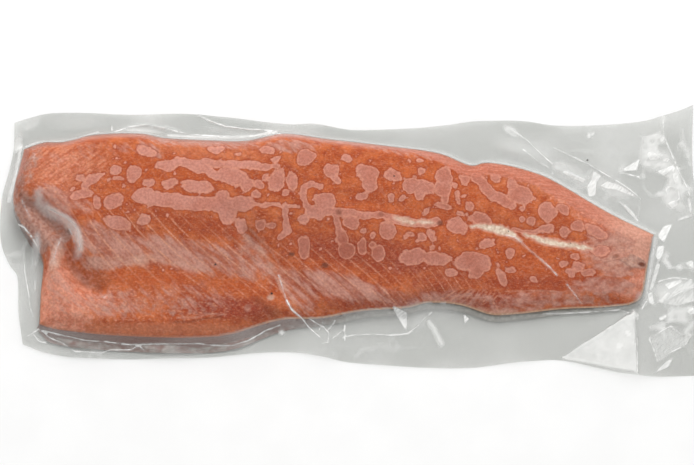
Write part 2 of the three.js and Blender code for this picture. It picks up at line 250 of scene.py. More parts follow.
# Soft areas of the flesh in pixels: middle, half sizes, tilt and strength
FROSTED = [
    (64, 198, 28, 10, -22, 0.9), (110, 244, 37, 15, -20, 0.9), (187, 254, 47, 13, -14, 0.85),
    (233, 262, 30, 12, -25, 0.8), (108, 303, 40, 12, -5, 0.55), (178, 297, 54, 13, 0, 0.4),
    (258, 256, 26, 9, -50, 0.75), (297, 290, 26, 13, -45, 0.65), (343, 286, 38, 11, -14, 0.95),
    (392, 297, 32, 9, -12, 0.7), (458, 298, 40, 6, 0, 0.65), (614, 254, 30, 24, -15, 0.95),
    (630, 238, 20, 14, -35, 0.85), (62, 290, 18, 28, 0, 0.4), (100, 150, 60, 8, 8, 0.25),
    (205, 144, 66, 6, -3, 0.55), (510, 307, 30, 6, 0, 0.5), (400, 152, 60, 4, -12, 0.4),
    (540, 299, 40, 7, 0, 0.65), (290, 146, 27, 7, -3, 0.8), (110, 262, 27, 7, 2, 0.85),
    (150, 150, 15, 7, -25, 0.8), (606, 285, 30, 8, 0, 0.9),
]
MAUVE = [
    (27, 172, 9, 34, -24, 0.55), (36, 223, 34, 19, -50, 1.0), (634, 261, 13, 7, 0, 0.95),
    (598, 299, 24, 6, 0, 0.3), (465, 303, 40, 3, 0, 0.35), (178, 308, 48, 10, 0, 0.3),
    (118, 303, 34, 12, 0, 0.25), (66, 234, 7, 9, -30, 0.9), (252, 262, 18, 34, 35, 0.2),
]
FLECKED = [
    (75, 178, 50, 38, 0, 0.8), (130, 160, 50, 22, 0, 0.4), (100, 262, 36, 22, 0, 0.6),
    (150, 305, 110, 26, 0, 0.7), (260, 150, 60, 14, 0, 0.4), (290, 290, 50, 26, -30, 0.5),
    (560, 255, 60, 30, 0, 0.3), (610, 250, 30, 24, 0, 0.5), (40, 222, 20, 24, 0, 0.35),
    (70, 300, 34, 30, 0, 0.8),
]
# Dark spots of the flesh, and a few patches of painted shade in the head's fold and in a trough
DARK_SPOTS_AND_SHADE = [
    (292, 254, 3, 2, 0, 0.9), (325, 265, 3.5, 2.5, 0, 0.9), (339, 212, 3, 3, 0, 0.6),
    (440, 223, 3, 2.5, 0, 0.8), (641, 264, 3.5, 2.2, 0, 0.95), (629, 268, 4, 2, 0, 0.45),
    (615, 256, 4, 2, 30, 0.5), (381, 214, 3, 2, 0, 0.5), (21, 195, 2, 2, 0, 0.8),
    (252, 236, 5, 12, 35, 0.25), (70, 232, 1.6, 3, 30, 0.9), (84, 281, 9, 6, -35, 0.15),
]
WARM = [
    (118, 158, 26, 10, 5, 0.7), (108, 206, 30, 12, 0, 0.8), (170, 274, 50, 9, 3, 0.9),
    (122, 274, 14, 7, 0, 0.7), (300, 250, 44, 20, -15, 0.6), (330, 262, 24, 10, -20, 0.7),
    (200, 226, 60, 9, -10, 0.8), (240, 285, 30, 8, -5, 0.7), (520, 268, 60, 20, -10, 0.8),
    (400, 195, 90, 40, -8, 0.5), (165, 176, 60, 22, 0, 0.6), (620, 293, 12, 6, 0, 0.3),
]
DEEP = [
    (370, 254, 80, 15, -8, 0.75), (345, 290, 66, 14, -14, 0.75), (470, 299, 60, 9, 0, 0.8),
    (228, 307, 42, 11, 0, 0.9), (205, 225, 56, 8, -10, 0.4), (540, 284, 60, 8, 0, 0.5),
    (450, 280, 40, 10, 0, 0.5),
]
DULL_AIR = [(352, 249, 34, 16, 0, 0.75), (305, 246, 12, 14, 0, 0.7), (265, 226, 16, 9, 0, 0.5)]
STREAKED = [(64, 164, 46, 22, 0, 1.0)]
PINK = [
    (66, 297, 30, 36, 0, 0.95), (634, 240, 22, 15, -30, 0.95), (640, 281, 11, 13, 0, 0.8),
    (628, 289, 15, 9, 0, 0.8), (575, 206, 50, 9, -30, 0.5), (62, 168, 28, 16, 0, 0.35),
    (60, 201, 15, 7, -35, 0.8), (112, 303, 24, 16, 0, 0.5), (600, 226, 32, 14, -30, 0.7),
    (60, 262, 10, 18, -14, 0.7),
]
LIGHT = [
    (60, 165, 34, 20, 0, 0.7), (72, 300, 32, 26, 0, 0.8), (590, 205, 40, 14, -30, 0.8),
    (646, 236, 9, 10, 0, 0.95), (645, 284, 6, 14, 0, 0.8), (150, 328, 110, 5, 0, 0.6),
    (210, 150, 60, 9, -4, 0.4), (530, 180, 40, 12, -15, 0.5),
]

# Areas that are a field of their own on the fillet, and the least that the flecks come to
AREA_FIELDS = {
    "frosted": FROSTED, "mauve": MAUVE, "deep": DEEP, "dull_air": DULL_AIR, "streaked": STREAKED,
    "pink": PINK, "warm": WARM, "light": LIGHT,
}
LEAST_FLECKED = 0.4

# The roll of film at the head end, in pixels
HEAD_ROLL = [(39, 193), (40, 203), (47, 211), (58, 217), (69, 223), (77, 234), (80, 245), (79, 255)]

# Lines and spots on the flesh: a path in pixels, half width and strength, or an area as above. Most dark
# lines are painted shade along the head's fold, beside the roll, in a crease and in a trough; the rest are
# dusky or dark red lines of the flesh itself.
DARK_LINES = [
    ([(24, 200), (41, 210), (51, 222), (61, 233.5), (65, 245), (69, 262), (77, 274), (88, 285)], 6, 0.32),
    ([(44, 207), (54, 219), (64, 228), (71, 242), (75, 256)], 3, 0.3),
    ([(176, 321), (190, 321), (205, 318), (222, 316)], 1.5, 0.6),
    ([(258, 300), (276, 314)], 6, 0.4),
    ([(26, 152), (21, 175), (18, 192)], 6, 0.36),
    ([(28, 148), (42, 145.5), (56, 144)], 3, 0.2),
    ([(226, 232), (242, 248), (256, 262)], 4, 0.22),
    ([(604, 262), (618, 259), (632, 268)], 1, 0.4),
]
# Partly pale tissue and cream, partly painted highlights on a ridge, the roll's rim and a few glints
PALE_AND_HIGHLIGHT_LINES = [
    ([(98, 266), (106, 262), (120, 259), (134, 257), (146, 258), (156, 261), (184, 264), (206, 271),
      (214, 276)], 2.2, 0.35),
    ([(178, 317), (195, 317), (210, 313), (225, 314)], 1.1, 0.5),
    ([(505, 291), (540, 290), (572, 292)], 1, 0.4),
    ([(240, 230), (262, 255), (278, 276)], 3.5, 0.3),
    ([(250, 228), (270, 250), (286, 272)], 1.4, 0.35),
    ([(652, 236), (649, 255), (645, 277), (641, 292)], 1.4, 0.8),
    ([(478, 309), (488, 311.5), (500, 312), (514, 311)], 3.5, 0.8),
    ([(423, 304), (443, 305), (461, 305), (478, 309)], 1.3, 0.5),
    (HEAD_ROLL, 4.0, 0.5),
    ([(47, 207), (60, 213), (68, 217), (75, 223), (80, 231), (83, 240), (83, 250)], 2.0, 0.95),
    ([(505, 236), (520, 243), (535, 255), (548, 267), (556, 275)], 1.1, 0.5),
    ([(532, 252), (545, 264), (556, 275)], 1.0, 0.7),
    ([(28, 146), (45, 141), (70, 139), (92, 134)], 2.2, 0.5),
    ([(150, 136), (180, 139), (215, 140), (245, 138)], 3, 0.5),
    ([(566, 284), (573, 293), (581, 303)], 1.1, 0.6),
    ([(275, 275), (280, 286), (287, 300)], 1.0, 0.8),
    ([(258, 246), (274, 268), (287, 290), (298, 311)], 3.5, 0.4),
]
PALE_AND_GLINT_SPOTS = [
    (271, 297, 3.5, 2.5, 0, 0.9), (248, 307.5, 3, 3.5, 0, 0.6), (630, 263, 2.6, 3.6, 0, 0.6),
    (57, 257, 5.5, 17, -16, 0.8), (618, 252, 26, 20, 0, 0.3), (423, 222, 3.2, 4, 0, 0.95),
    (407, 220, 4, 3.5, 0, 0.8), (354, 212, 4, 2, 0, 0.5), (573, 294, 7, 8, -50, 0.35),
    (140, 260, 20, 5, 5, 0.4), (108, 262, 20, 6, 3, 0.25), (90, 262, 7, 6, 0, 0.2),
]

# The soft edge of a line reaches past its half width. The pale ones are broken up about this level.
SOFT_LINE_REACH = 1.3
PALE_LEVEL = 0.76

# Lines between the flakes of the muscle: how far each runs towards the tail for its way down, at even
# stations, where they show, and how they fade
FLAKE_SPACING = 9.4
FLAKE_RUN = [0.65, 0.85, 1.05, 1.15, 1.15, 1.1, 0.8]
FLAKE_STATIONS = (50, 335)
FLAKE_TOP = 95
FLAKE_AREAS = [(150, 246, 100, 32, -10, 1.0), (375, 276, 125, 26, -8, 1.0), (240, 262, 60, 30, -30, 0.8)]
FINE_FLAKE_SPACING = 3.2
FINE_FLAKE_AREAS = [(468, 297, 34, 8, 0, 0.6)]
FINE_FLAKE_LIMIT = 0.4
LEAST_FLAKES = 0.1
FADE_LEVEL = 0.75
LEAST_FADE = 0.25
FLAKE_TONES = 256
FLAKE_TONE_SEED = 53

# The back edge's band of flesh lies within this of the edge. What isn't there counts as far away.
BACK_BAND = 25
FAR_AWAY = 99

# Creases of the film in pixels, of four strengths: height, whitening and paths. The whitening is partly
# the film's stress whitening and partly a painted glint along the crease.
CREASE_HALF_WIDTH = 2
CREASE_SHARPNESS = 1.5
CREASES = [
    (1.2, 0.97, [
        [(42, 330), (54.4, 333), (72, 337), (86.6, 340.4), (106, 341.6), (129, 344.4)],
        [(112.6, 132), (128, 126.6), (145, 124.7), (160, 127.3), (178.6, 132), (198, 135), (226, 136.7),
         (254, 136)],
        [(254, 136), (268.4, 132), (279.6, 134.3)],
        [(197, 114.6), (211, 121.7), (226, 126.6), (247, 129.4), (268.4, 130), (275.4, 131.5)],
        [(286.8, 300), (291.4, 309), (304, 320.7), (320, 337)],
        [(309.7, 319), (323.5, 326.4), (329, 333.3), (328, 342.5), (321, 344)],
        [(407.7, 333.6), (413, 329.5), (419, 325.6)],
        [(665.8, 192.7), (669.5, 186.6), (678.2, 189), (679.4, 200), (670.7, 205)],
        [(631.6, 309.5), (636.8, 314.7), (635.8, 325.3), (635.4, 345), (635.4, 373)],
        [(344.8, 325.3), (344.8, 340.5)],
        [(586.6, 163), (605, 174.2), (623.7, 185.3), (641, 199)],
        [(618, 202.3), (625.8, 207.4), (632.6, 215), (640, 224)],
        [(663.8, 122), (665, 138), (673.7, 158), (678.8, 171.5), (686.5, 187), (690, 196)],
        [(619, 173), (630, 175), (640, 177.5)],
        [(664.2, 354.7), (683.2, 345.3)],
    ]),
    (1.0, 0.8, [
        [(42, 330), (51, 337.6), (63.6, 342.7), (76.3, 351.3), (102.7, 352.7), (112, 349.6), (132.5, 349.6)],
        [(132.5, 349.6), (139.4, 345), (145, 350)],
        [(233, 345.4), (249, 340.2), (266, 330.4), (280, 325.3)],
        [(40, 328.5), (29.6, 335.8)], [(35.7, 335.3), (40.8, 341.4), (47, 342.4)],
        [(24, 249.6), (25.5, 273), (29.6, 294.5), (31.6, 309.8), (34.7, 317)],
        [(18.4, 224.5), (24.5, 227.6), (32.7, 237.8), (39.8, 250)],
        [(19.4, 159), (14.3, 181.6), (11.2, 197)],
        [(323.5, 321.8), (319, 329.9)], [(335, 320.7), (329, 328.7)],
        [(340, 337.5), (355, 334.8), (374.4, 334.2), (391.7, 335.3), (407, 333.6)],
        [(512.4, 129.6), (528.5, 140.8), (540.8, 153.2), (553.2, 164.3)],
        [(523.5, 149.4), (537, 160.6), (549.5, 168)], [(553.2, 164.3), (553.2, 175.4)],
        [(555.7, 169.2), (569.3, 174.2), (586.6, 180.4)],
        [(648.5, 158), (653.4, 155), (660.9, 158), (670.7, 160)],
        [(654.7, 170.5), (663.3, 174.2), (675.7, 169.2)], [(675.7, 218.7), (684.4, 218.7), (691.8, 215)],
        [(647.4, 338), (669.5, 326), (679, 334), (690.5, 334.7)], [(647.4, 338), (652.6, 350.5), (656, 362)],
        [(683, 345.3), (690.5, 334.7)], [(646, 301), (640, 310)],
        [(655, 236), (652.6, 254.7), (648.4, 279), (646.3, 294)],
        [(658, 282), (673.7, 278), (690.5, 280)], [(661, 303.2), (679, 292.6), (694, 287.4)],
        [(560, 313.7), (596.8, 311.6), (619, 310), (627.4, 312.6)],
    ]),
    (0.6, 0.55, [
        [(129, 344.4), (146, 344), (200, 343.3), (211, 344.8), (233, 345.4)],
        [(35.7, 260.8), (35.7, 291.4)], [(332.7, 337.9), (343, 329.9)],
        [(407.7, 333.6), (431.8, 311.8)], [(541.4, 313.6), (560, 313.7)],
        [(561, 358), (632.6, 314.7)], [(641, 199), (638.6, 216.3)],
        [(111, 115), (111, 130)], [(555, 148), (586, 163)],
        [(654, 318), (665, 319)], [(685, 310), (694, 312)],
        [(69.6, 228.4), (73, 235), (75.3, 243)], [(62, 238), (58, 249), (55, 259)],
        [(561, 358), (598, 366), (635.4, 374)],
    ]),
    (0.4, 0.3, [
        [(505, 235), (514, 237), (522, 243), (529, 250), (540, 259), (549, 267), (556, 275)],
        [(566, 284), (580, 303)], [(22.4, 200), (30.6, 217)], [(279, 275), (286.8, 300)],
    ]),
]

# Flat facets of folded film, whose white is a painted reflection of light: strength and corners in pixels
FACETS = [
    (0.85, [(392, 305.5), (407, 312), (407, 322), (406, 331)]),
    (0.95, [(463, 313), (469, 318.7), (464, 323)]),
    (0.85, [(594, 170), (602, 176), (597, 182.5), (596, 195.5), (589, 197), (587, 187), (591.5, 180)]),
    (0.8, [(619, 171.5), (641, 158), (637.5, 170)]),
    (0.85, [(600, 186), (608, 181), (620, 185), (640, 199), (629, 195), (616, 190), (606, 188.5)]),
    (0.8, [(619, 201), (626, 205), (634, 213), (642, 225), (635, 220), (626, 210)]),
    (0.7, [(555, 168), (572, 173), (587, 180), (586, 184), (570, 177.5)]),
    (0.85, [(659, 141.6), (667, 142.5), (664, 135)]),
    (0.8, [(647, 152.7), (654, 151), (662.6, 159.6), (649.7, 160.4)]),
    (0.8, [(656, 172), (674, 165), (676, 170), (664, 176)]),
    (0.7, [(660, 157), (671, 160), (672, 163), (664, 162)]),
    (0.75, [(672, 174), (677, 172), (681, 182), (675, 184)]),
    (0.8, [(687, 194), (690, 199), (693, 215), (689, 211)]),
    (0.75, [(677, 219), (690, 214), (692.5, 217), (678, 221.5)]),
    (0.9, [(667, 203), (675.4, 200.6), (680.5, 204), (672, 209)]),
    (0.7, [(665, 190), (669, 185), (672, 196), (667, 196)]),
    (0.9, [(663.7, 226), (672.6, 224), (663.7, 242.6), (657, 236)]),
    (0.9, [(657.4, 246.3), (664, 245.3), (662.6, 254.7), (658, 262), (655.3, 256)]),
    (0.75, [(646.3, 293.7), (651.6, 291.6), (653.7, 306.3), (648.4, 303)]),
    (0.5, [(661, 304), (676, 287.4), (690.5, 279), (693, 285), (693, 301), (678, 306)]),
    (0.8, [(663, 284), (680, 279.5), (682, 282), (668, 290)]),
    (0.8, [(656, 302), (667, 291.5), (670, 294), (662, 304)]),
    (0.6, [(656, 263), (660, 264), (655, 281), (651.5, 291), (648, 291), (651, 280)]),
    (0.7, [(656, 319), (664, 314), (667, 316), (660, 321)]),
    (0.8, [(685, 311), (691, 307.5), (694, 309), (694, 314), (688, 315)]),
    (0.7, [(684, 263), (692.6, 260), (693.5, 270)]),
    (0.3, [(647.4, 338), (669.5, 326), (679, 334), (690.5, 334.7), (682.6, 346.3), (666, 356), (656, 362),
           (652.6, 350.5)]),
    (0.7, [(651.6, 372.6), (663, 362), (672, 356), (667, 366)]),
    (0.55, [(22, 145), (19.5, 160), (16, 180), (11, 203), (6, 203), (11.5, 181), (16, 160), (18.5, 145)]),
]

# Rolls, where the film bridges a hollow: path in pixels, height, half width and whitening, which is a
# painted highlight
ROLLS = [
    (HEAD_ROLL, 0.9, 5.4, 0.2),
    ([(47, 207), (60, 214), (68, 218), (75, 224), (79, 232), (81, 241), (81, 250)], 0.0, 3.2, 0.3),
    ([(62, 240), (57, 250), (54, 262)], 0.6, 4.0, 0.1),
    ([(241, 228), (263, 255), (279, 275)], 0.3, 4.0, 0.0),
    ([(428.4, 322), (433, 328), (441, 344)], 0.8, 3.6, 0.45),
    ([(500, 318), (500, 360)], 0.2, 1.5, 0.06),
    ([(655, 239), (652, 256), (648, 278), (645, 296)], 0.0, 3.0, 0.55),
    ([(26, 146.5), (36, 142.5), (60, 141), (76, 138.5), (97, 132)], 0.0, 2.5, 0.4),
    ([(168, 135), (205, 137), (240, 137), (262, 134.5), (276, 131.5)], 0.0, 2.5, 0.5),
]

# Painted highlights and glints on the film in pixels: middle, half sizes, tilt and strength
PAINTED_GLINTS = [
    (626.5, 334.6, 2.4, 4, 35, 0.9), (618, 346, 4, 4, 0, 0.8), (633, 316, 2.5, 6, 0, 0.9),
    (600, 358, 12, 5, -10, 0.7), (36, 254, 4.5, 14, -8, 0.5), (642, 300, 7, 6, 0, 0.35),
    (17, 144, 4, 8, -15, 0.7), (30, 124, 9, 5, 35, 0.3), (512, 131, 9, 4, -35, 0.45),
    (612, 188, 20, 8, -30, 0.35), (570, 172, 20, 9, -25, 0.35), (660, 162, 14, 12, 0, 0.4),
    (673, 196, 11, 13, 0, 0.5), (672, 290, 22, 11, 5, 0.45), (664, 340, 18, 10, 25, 0.25),
    (146, 129, 30, 4, 0, 0.4), (282, 332, 2.5, 2.5, 0, 0.9), (590, 135, 2, 3, -20, 0.8),
    (594, 133.5, 1.6, 1.6, 0, 0.8), (415, 318, 12, 12, 0, 0.25), (76, 122, 30, 8, 0, 0.15),
    (230, 131, 30, 4, -8, 0.2),
]

# A flap of film stands out from the tail's front corner: its corners in pixels, and their heights
FLAP = [(633, 313), (635.4, 374), (561, 358)]
FLAP_HEIGHTS = [5.5, 5.0, 0.3]
FLAP_FALL = 2.5
# The flap's whitening is a painted highlight, as if the raised facet caught the light
FLAP_HIGHLIGHT = 0.58

# Crumpled areas of the film in pixels: middle, half sizes, tilt and height
CRUMPLED = [
    (668, 165, 26, 50, 10, 1.4), (672, 300, 26, 52, 0, 1.3), (604, 178, 46, 26, -20, 0.7),
    (14, 250, 16, 70, 0, 0.6), (350, 346, 70, 14, 5, 0.5), (120, 354, 90, 9, 0, 0.5),
    (24, 138, 12, 18, 0, 0.8),
]
CRUMPLE_CELL = 15
CRUMPLE_SEED = 60
CRUMPLE_LEVELS = (1, 2, 3)
CRUMPLE_PEAK = 1.8
# Streaks on the crumples are painted highlights: the pattern's levels they lie between, and their strength
CRUMPLE_STREAKS = (0.62, 0.9)
CRUMPLE_HIGHLIGHT = 0.4
LEAST_MOTTLE = 0.45
LOOSE_FROM = (1, 5)

# Fine wrinkles of the margin: number, seed, how far from the fillet they start, how far they turn from
# straight outwards, and their lengths and heights
WRINKLES = 70
WRINKLE_SEED = 5
WRINKLE_STARTS = (2, 14)
WRINKLE_TURN = 0.5
WRINKLE_LENGTHS = (6, 24)
WRINKLE_HEIGHTS = (0.1, 0.4)

# Painted light on the skirt behind the fillet, where it faces the light, and haze over the whole margin
PAINTED_BACK_LIGHT = 0.42
PAINTED_BACK_LIGHT_WIDTH = 4
PAINTED_BACK_LIGHT_FROM = (0.45, 0.89)
MARGIN_HAZE = 0.26

# Dark specks: pixels and radius, and the steps of their mesh
SPECKS = [
    (216, 264, 0.75), (272, 293, 0.9), (588, 160, 0.8), (394, 176, 0.6), (508, 231, 0.5), (570, 243, 0.45),
]
SPECK_FLATNESS = 0.3
SPECK_RINGS = 5
SPECK_SIDES = 10

# Film's own looks: what passes each surface, and its mirror share seen straight on
PLY_TINT = (0.925, 0.927, 0.921, 1)
FILM_MIRROR = 0.02

# The flesh is seen through a ply on the way in and out, and the film adds a little glare
FILM_PASS = 0.85
FILM_GLARE = 0.03
DARKEST = 0.005

# Colours of the flesh as the photograph shows them through the film
FLESH_COLOURS = {
    "orange_dark": (175, 83, 43), "orange": (203, 111, 70), "warm": (192, 92, 42), "deep": (152, 67, 30),
    "light": (208, 130, 98), "strand_dark": (182, 92, 64), "strand": (218, 142, 112),
    "pink_dark": (212, 130, 105), "pink": (234, 163, 140), "grain": (212, 132, 96),
    "frost_dark": (178, 114, 98), "frost": (206, 152, 137), "mauve_dark": (164, 122, 110),
    "mauve": (190, 152, 140), "fleck": (224, 158, 128),
    # Among these: pale tissue with painted highlights, and dark spots of the flesh with painted shade
    "flake_line": (228, 163, 134), "pale": (216, 176, 158), "spots_and_shade": (122, 72, 58),
    # Among these: painted shade round the air pockets and a painted highlight on their rims
    "painted_pocket_shade": (154, 70, 38), "air_head": (212, 148, 132), "air_tail": (204, 139, 122),
    "air_middle": (184, 116, 98), "air_dull": (176, 106, 88), "painted_pocket_rim_highlight": (222, 154, 130),
    "band_dark": (194, 118, 97), "band": (210, 140, 121), "band_tip": (222, 166, 146),
    "edge": (190, 136, 112), "front_edge": (214, 182, 154), "midline_rim": (212, 156, 136),
    "cream_dark": (216, 188, 168), "cream": (236, 219, 200), "olive": (156, 136, 114),
}
FINE_TONES = ((0.88, 0.85, 0.83, 1), (1.1, 1.13, 1.16, 1))

# Colours of the other surfaces
OTHER_COLOURS = {
    "belly_skin": (206, 203, 198), "back_skin": (84, 88, 92), "scale": (120, 116, 114), "spot": (40, 40, 44),
    # Among these: the cut's dull colours, which in front are partly painted shadow
    "cut_shade_head": (146, 111, 103), "cut_shade_tail": (128, 120, 110), "cut_dark": (186, 96, 62),
    # Among these: the film's white, for its haze and its painted highlights
    "cut_light": (212, 138, 108), "haze_and_glint_white": (246, 246, 244), "speck_dark": (24, 20, 20), "speck": (58, 46, 42),
}
SCALES_PER_METRE = 330.0

# Studio: a pale floor, even light all round and two soft lights, in metres, degrees and watts
FLOOR_HALF = 4.0
FLOOR_HEIGHT = -0.0003
FLOOR_TONES = ((0.9, 0.9, 0.895, 1), (0.92, 0.92, 0.915, 1))
WORLD_STRENGTH = 0.79
LIGHTS = {
    "key": dict(azimuth=85, elevation=38, distance=2.2, power=26, size=1.0, mirrored=False),
    "window": dict(azimuth=130, elevation=16, distance=2.2, power=6, size=0.5, mirrored=True),
}

# Distances to a path are measured for so many points and steps at a time, to save memory
MEASURED_AT_ONCE = 3_000_000


def smoothstep(value, low, high):
    share = np.clip((value - low) / (high - low), 0, 1)
    return share * share * (3 - 2 * share)


def on_plan(shares):
    """Points given as shares of the fillet's box, in millimetres."""
    return np.asarray(shares, float) * (FILLET_LENGTH, FILLET_WIDTH)


def cubic(start, end, leave, arrive, t):
    """A smooth way from start to end, with its slopes there, as t goes from 0 to 1."""
    square = 3 * (end - start) - 2 * leave - arrive
    cube = 2 * (start - end) + leave + arrive
    return start + leave * t + square * t**2 + cube * t**3


def smooth_line(shares, samples=60):
    """A centripetal Catmull-Rom line through a few points, as a dense path."""
    points = on_plan(shares)
    first = 2 * points[0] - points[1]
    last = 2 * points[-1] - points[-2]
    points = np.vstack([first, points, last])
    knots = np.hypot(*np.diff(points, axis=0).T) ** 0.5
    t = np.linspace(0, 1, samples, endpoint=False)[:, None]
    path = []
    for i in range(1, len(points) - 2):
        before, here, after = knots[i - 1 : i + 2]
        p0, p1, p2, p3 = points[i - 1 : i + 3]
        leave = (p1 - p0) / before - (p2 - p0) / (before + here) + (p2 - p1) / here
        arrive = (p2 - p1) / here - (p3 - p1) / (here + after) + (p3 - p2) / after
        path.append(cubic(p1, p2, leave * here, arrive * here, t))
    return np.vstack([*path, points[-2]])


def along(line, shares):
    """Points at shares of a path's length."""
    steps = np.hypot(*np.diff(line, axis=0).T)
    travelled = np.concatenate([[0], np.cumsum(steps)]) / steps.sum()
    return np.stack([np.interp(shares, travelled, line[:, k]) for k in (0, 1)], axis=-1)


def even_path(line, step):
    """A path with its points about a step apart."""
    length = np.hypot(*np.diff(line, axis=0).T).sum()
    return along(line, np.linspace(0, 1, max(2, round(length / step))))


back_edge, belly_edge, head_end, tail_end = map(smooth_line, (BACK_EDGE, BELLY_EDGE, HEAD_END, TAIL_END))
pouch_back, pouch_front, pouch_left, pouch_right = map(
    smooth_line, (POUCH_BACK, POUCH_FRONT, POUCH_LEFT, POUCH_RIGHT)
)
outline = np.vstack([
    even_path(belly_edge, OUTLINE_STEP),
    even_path(tail_end, OUTLINE_STEP)[1:],
    even_path(back_edge, OUTLINE_STEP)[-2::-1],
    even_path(head_end, OUTLINE_STEP)[-2::-1],
])
pouch_points = np.vstack([pouch_back, pouch_front, pouch_left, pouch_right])
pack_middle = (pouch_points.min(0) + pouch_points.max(0)) / 2


def nearest(path, points):
    """The distance from each point to a path, and the nearest place on it."""
    start = path[:-1]
    run = path[1:] - start
    square = (run**2).sum(1)
    away = np.empty(len(points))
    place = np.empty((len(points), 2))
    chunks = max(1, len(points) * len(start) // MEASURED_AT_ONCE)
    for chunk in np.array_split(np.arange(len(points)), chunks):
        offset = points[chunk][:, None] - start
        share = np.clip((offset * run).sum(-1) / square, 0, 1)
        distance = np.hypot(*np.moveaxis(offset - share[..., None] * run, -1, 0))
        pick = distance.argmin(1)
        each = np.arange(len(chunk))
        away[chunk] = distance[each, pick]
        place[chunk] = start[pick] + share[each, pick][:, None] * run[pick]
    return away, place


def away_from(path, points):
    """The distance from each point to a path of pixels."""
    return nearest(on_pack(path), points)[0]


def is_inside(path, points):
    """Whether each point is inside a closed path."""
    crossings = np.zeros(len(points), int)
    for (x0, y0), (x1, y1) in zip(path[:-1], path[1:]):
        if y0 == y1:
            continue
        level = (y0 > points[:, 1]) != (y1 > points[:, 1])
        crossings += level & (points[:, 0] < x0 + (points[:, 1] - y0) * (x1 - x0) / (y1 - y0))
    return crossings % 2 == 1


def through_values(values, shares):
    """A smooth curve through evenly spaced values, read at shares of its length."""
    values = np.asarray(values, float)
    last = len(values) - 1
    spot = np.clip(shares, 0, 1) * last
    i = np.minimum(spot.astype(int), last - 1)
    t = spot - i
    v0, v1, v2, v3 = (values[np.clip(i + k, 0, last)] for k in (-1, 0, 1, 2))
    return cubic(v1, v2, (v2 - v0) / 2, (v3 - v1) / 2, t)


def fold_height(folds, points):
    """What a list of folds adds to the height."""
    height = np.zeros(len(points))
    for path, rise, spread in folds:
        away, _ = nearest(on_plan(path), points)
        height += rise * np.exp(-((away / spread) ** 2))
    return height


def thickness(points):
    """The fillet's thickness before its edges are rounded."""
    x, y = points.T
    share = np.clip(x / FILLET_LENGTH, 0, 1)
    belly = np.interp(x, *belly_edge.T)
    back = np.interp(x, *back_edge.T)
    across = np.clip((y - belly) / (back - belly), 0, 1)
    change = smoothstep(share, *PROFILE_CHANGE)
    head = through_values(HEAD_PROFILE, across)
    tail = through_values(TAIL_PROFILE, across)
    return THICKEST * through_values(CREST, share) * (head + (tail - head) * change)


def margin_lift(points, outside):
    """How far the margin's underside is off the table."""
    x, y = points.T
    turns = 2 * math.pi / MARGIN_WAVE_LENGTH
    ripple = np.sin(turns * (x + WAVE_LEAN * y))
    ripple = ripple * np.cos(CROSS_WAVE_RATE * turns * (y - CROSS_WAVE_LEAN * x))
    corner = on_plan(CURLED_CORNER)
    curl = 1 - np.clip(np.hypot(*(points - corner).T) / CURL_REACH, 0, 1)
    raised = MARGIN_WAVE * (1 + ripple) + fold_height(PLEATS, points) + CURL_HEIGHT * curl**2
    return raised * smoothstep(outside, LIFT_START, LIFT_FULL)


def form(points):
    """Depth inside the fillet's outline, and the heights of the pouch's underside and uncreased top."""
    depth, _ = nearest(outline, points)
    depth = np.where(is_inside(outline, points), depth, -depth)
    outside = np.maximum(-depth, 0)
    under = margin_lift(points, outside)
    full = np.maximum(thickness(points) + fold_height(FOLDS, points), 2 * MARGIN_THICKNESS)
    wall = WALL_SHARE * full
    rounding = 1 - (1 - np.clip(depth / ROUNDING_WIDTH, 0, 1)) ** 2
    skirt = 1 - np.clip(outside / (SKIRT_LEAST + SKIRT_PER_HEIGHT * wall), 0, 1)
    mound = np.where(depth > 0, wall + (full - wall) * rounding, wall * skirt**2)
    return depth, under, under + MARGIN_THICKNESS + mound


def on_pack(pixels):
    """Where the lines of sight through these pixels meet the pack, on the plan."""
    pixels = np.asarray(pixels, float)
    from_middle = (pixels - np.array(PHOTO_SIZE) / 2) * PHOTO_SCALE * (1, -1 / math.sin(VIEW_ELEVATION))
    on_table = from_middle + LOOK_AT
    spots = on_table.copy()
    for _ in range(SIGHT_STEPS):
        spots[:, 1] = on_table[:, 1] - form(spots)[2] / math.tan(VIEW_ELEVATION)
    return spots


def noise(points, cell, seed):
    """Smooth random values from -1 to 1 that change over about one cell."""
    side = 64
    lattice = np.random.default_rng(seed).uniform(-1, 1, (side, side))
    spot = points / cell
    corner = np.floor(spot).astype(int)
    share = spot - corner
    share = share * share * (3 - 2 * share)
    i, j = corner.T % side
    k, m = (i + 1) % side, (j + 1) % side
    u, v = share.T
    low = lattice[i, j] * (1 - u) + lattice[k, j] * u
    high = lattice[i, m] * (1 - u) + lattice[k, m] * u
    return low * (1 - v) + high * v


def waves(parts, points):
    """A sum of random patterns, each with its amount, cell and seed."""
    return sum(amount * noise(points, cell, seed) for amount, cell, seed in parts)


def warped(axes, points):
    """Points moved about at random, which gives what is measured from them an irregular edge."""
    return points + np.stack([waves(parts, points) for parts in axes], axis=1)


def reach(points, middle, halves, tilt):
    """1 on an ellipse's rim, less inside it and more outside. Half sizes and tilt are as the photo shows."""
    offset = points - middle
    cos, sin = math.cos(math.radians(tilt)), math.sin(math.radians(tilt))
    seen = offset / PHOTO_SCALE * (1, math.sin(VIEW_ELEVATION))
    turned = seen @ np.array([[cos, -sin], [sin, cos]])
    return np.hypot(*(turned / halves).T)


def soft_areas(areas, points, edge=0.45):
    """The strength of soft-edged ellipses at each point: the strongest counts."""
    middles = on_pack([area[:2] for area in areas])
    strength = np.zeros(len(points))
    for middle, (_, _, *halves, tilt, most) in zip(middles, areas):
        inside = 1 - smoothstep(reach(points, middle, halves, tilt), 1 - edge, 1 + edge)
        strength = np.maximum(strength, most * inside)
    return strength


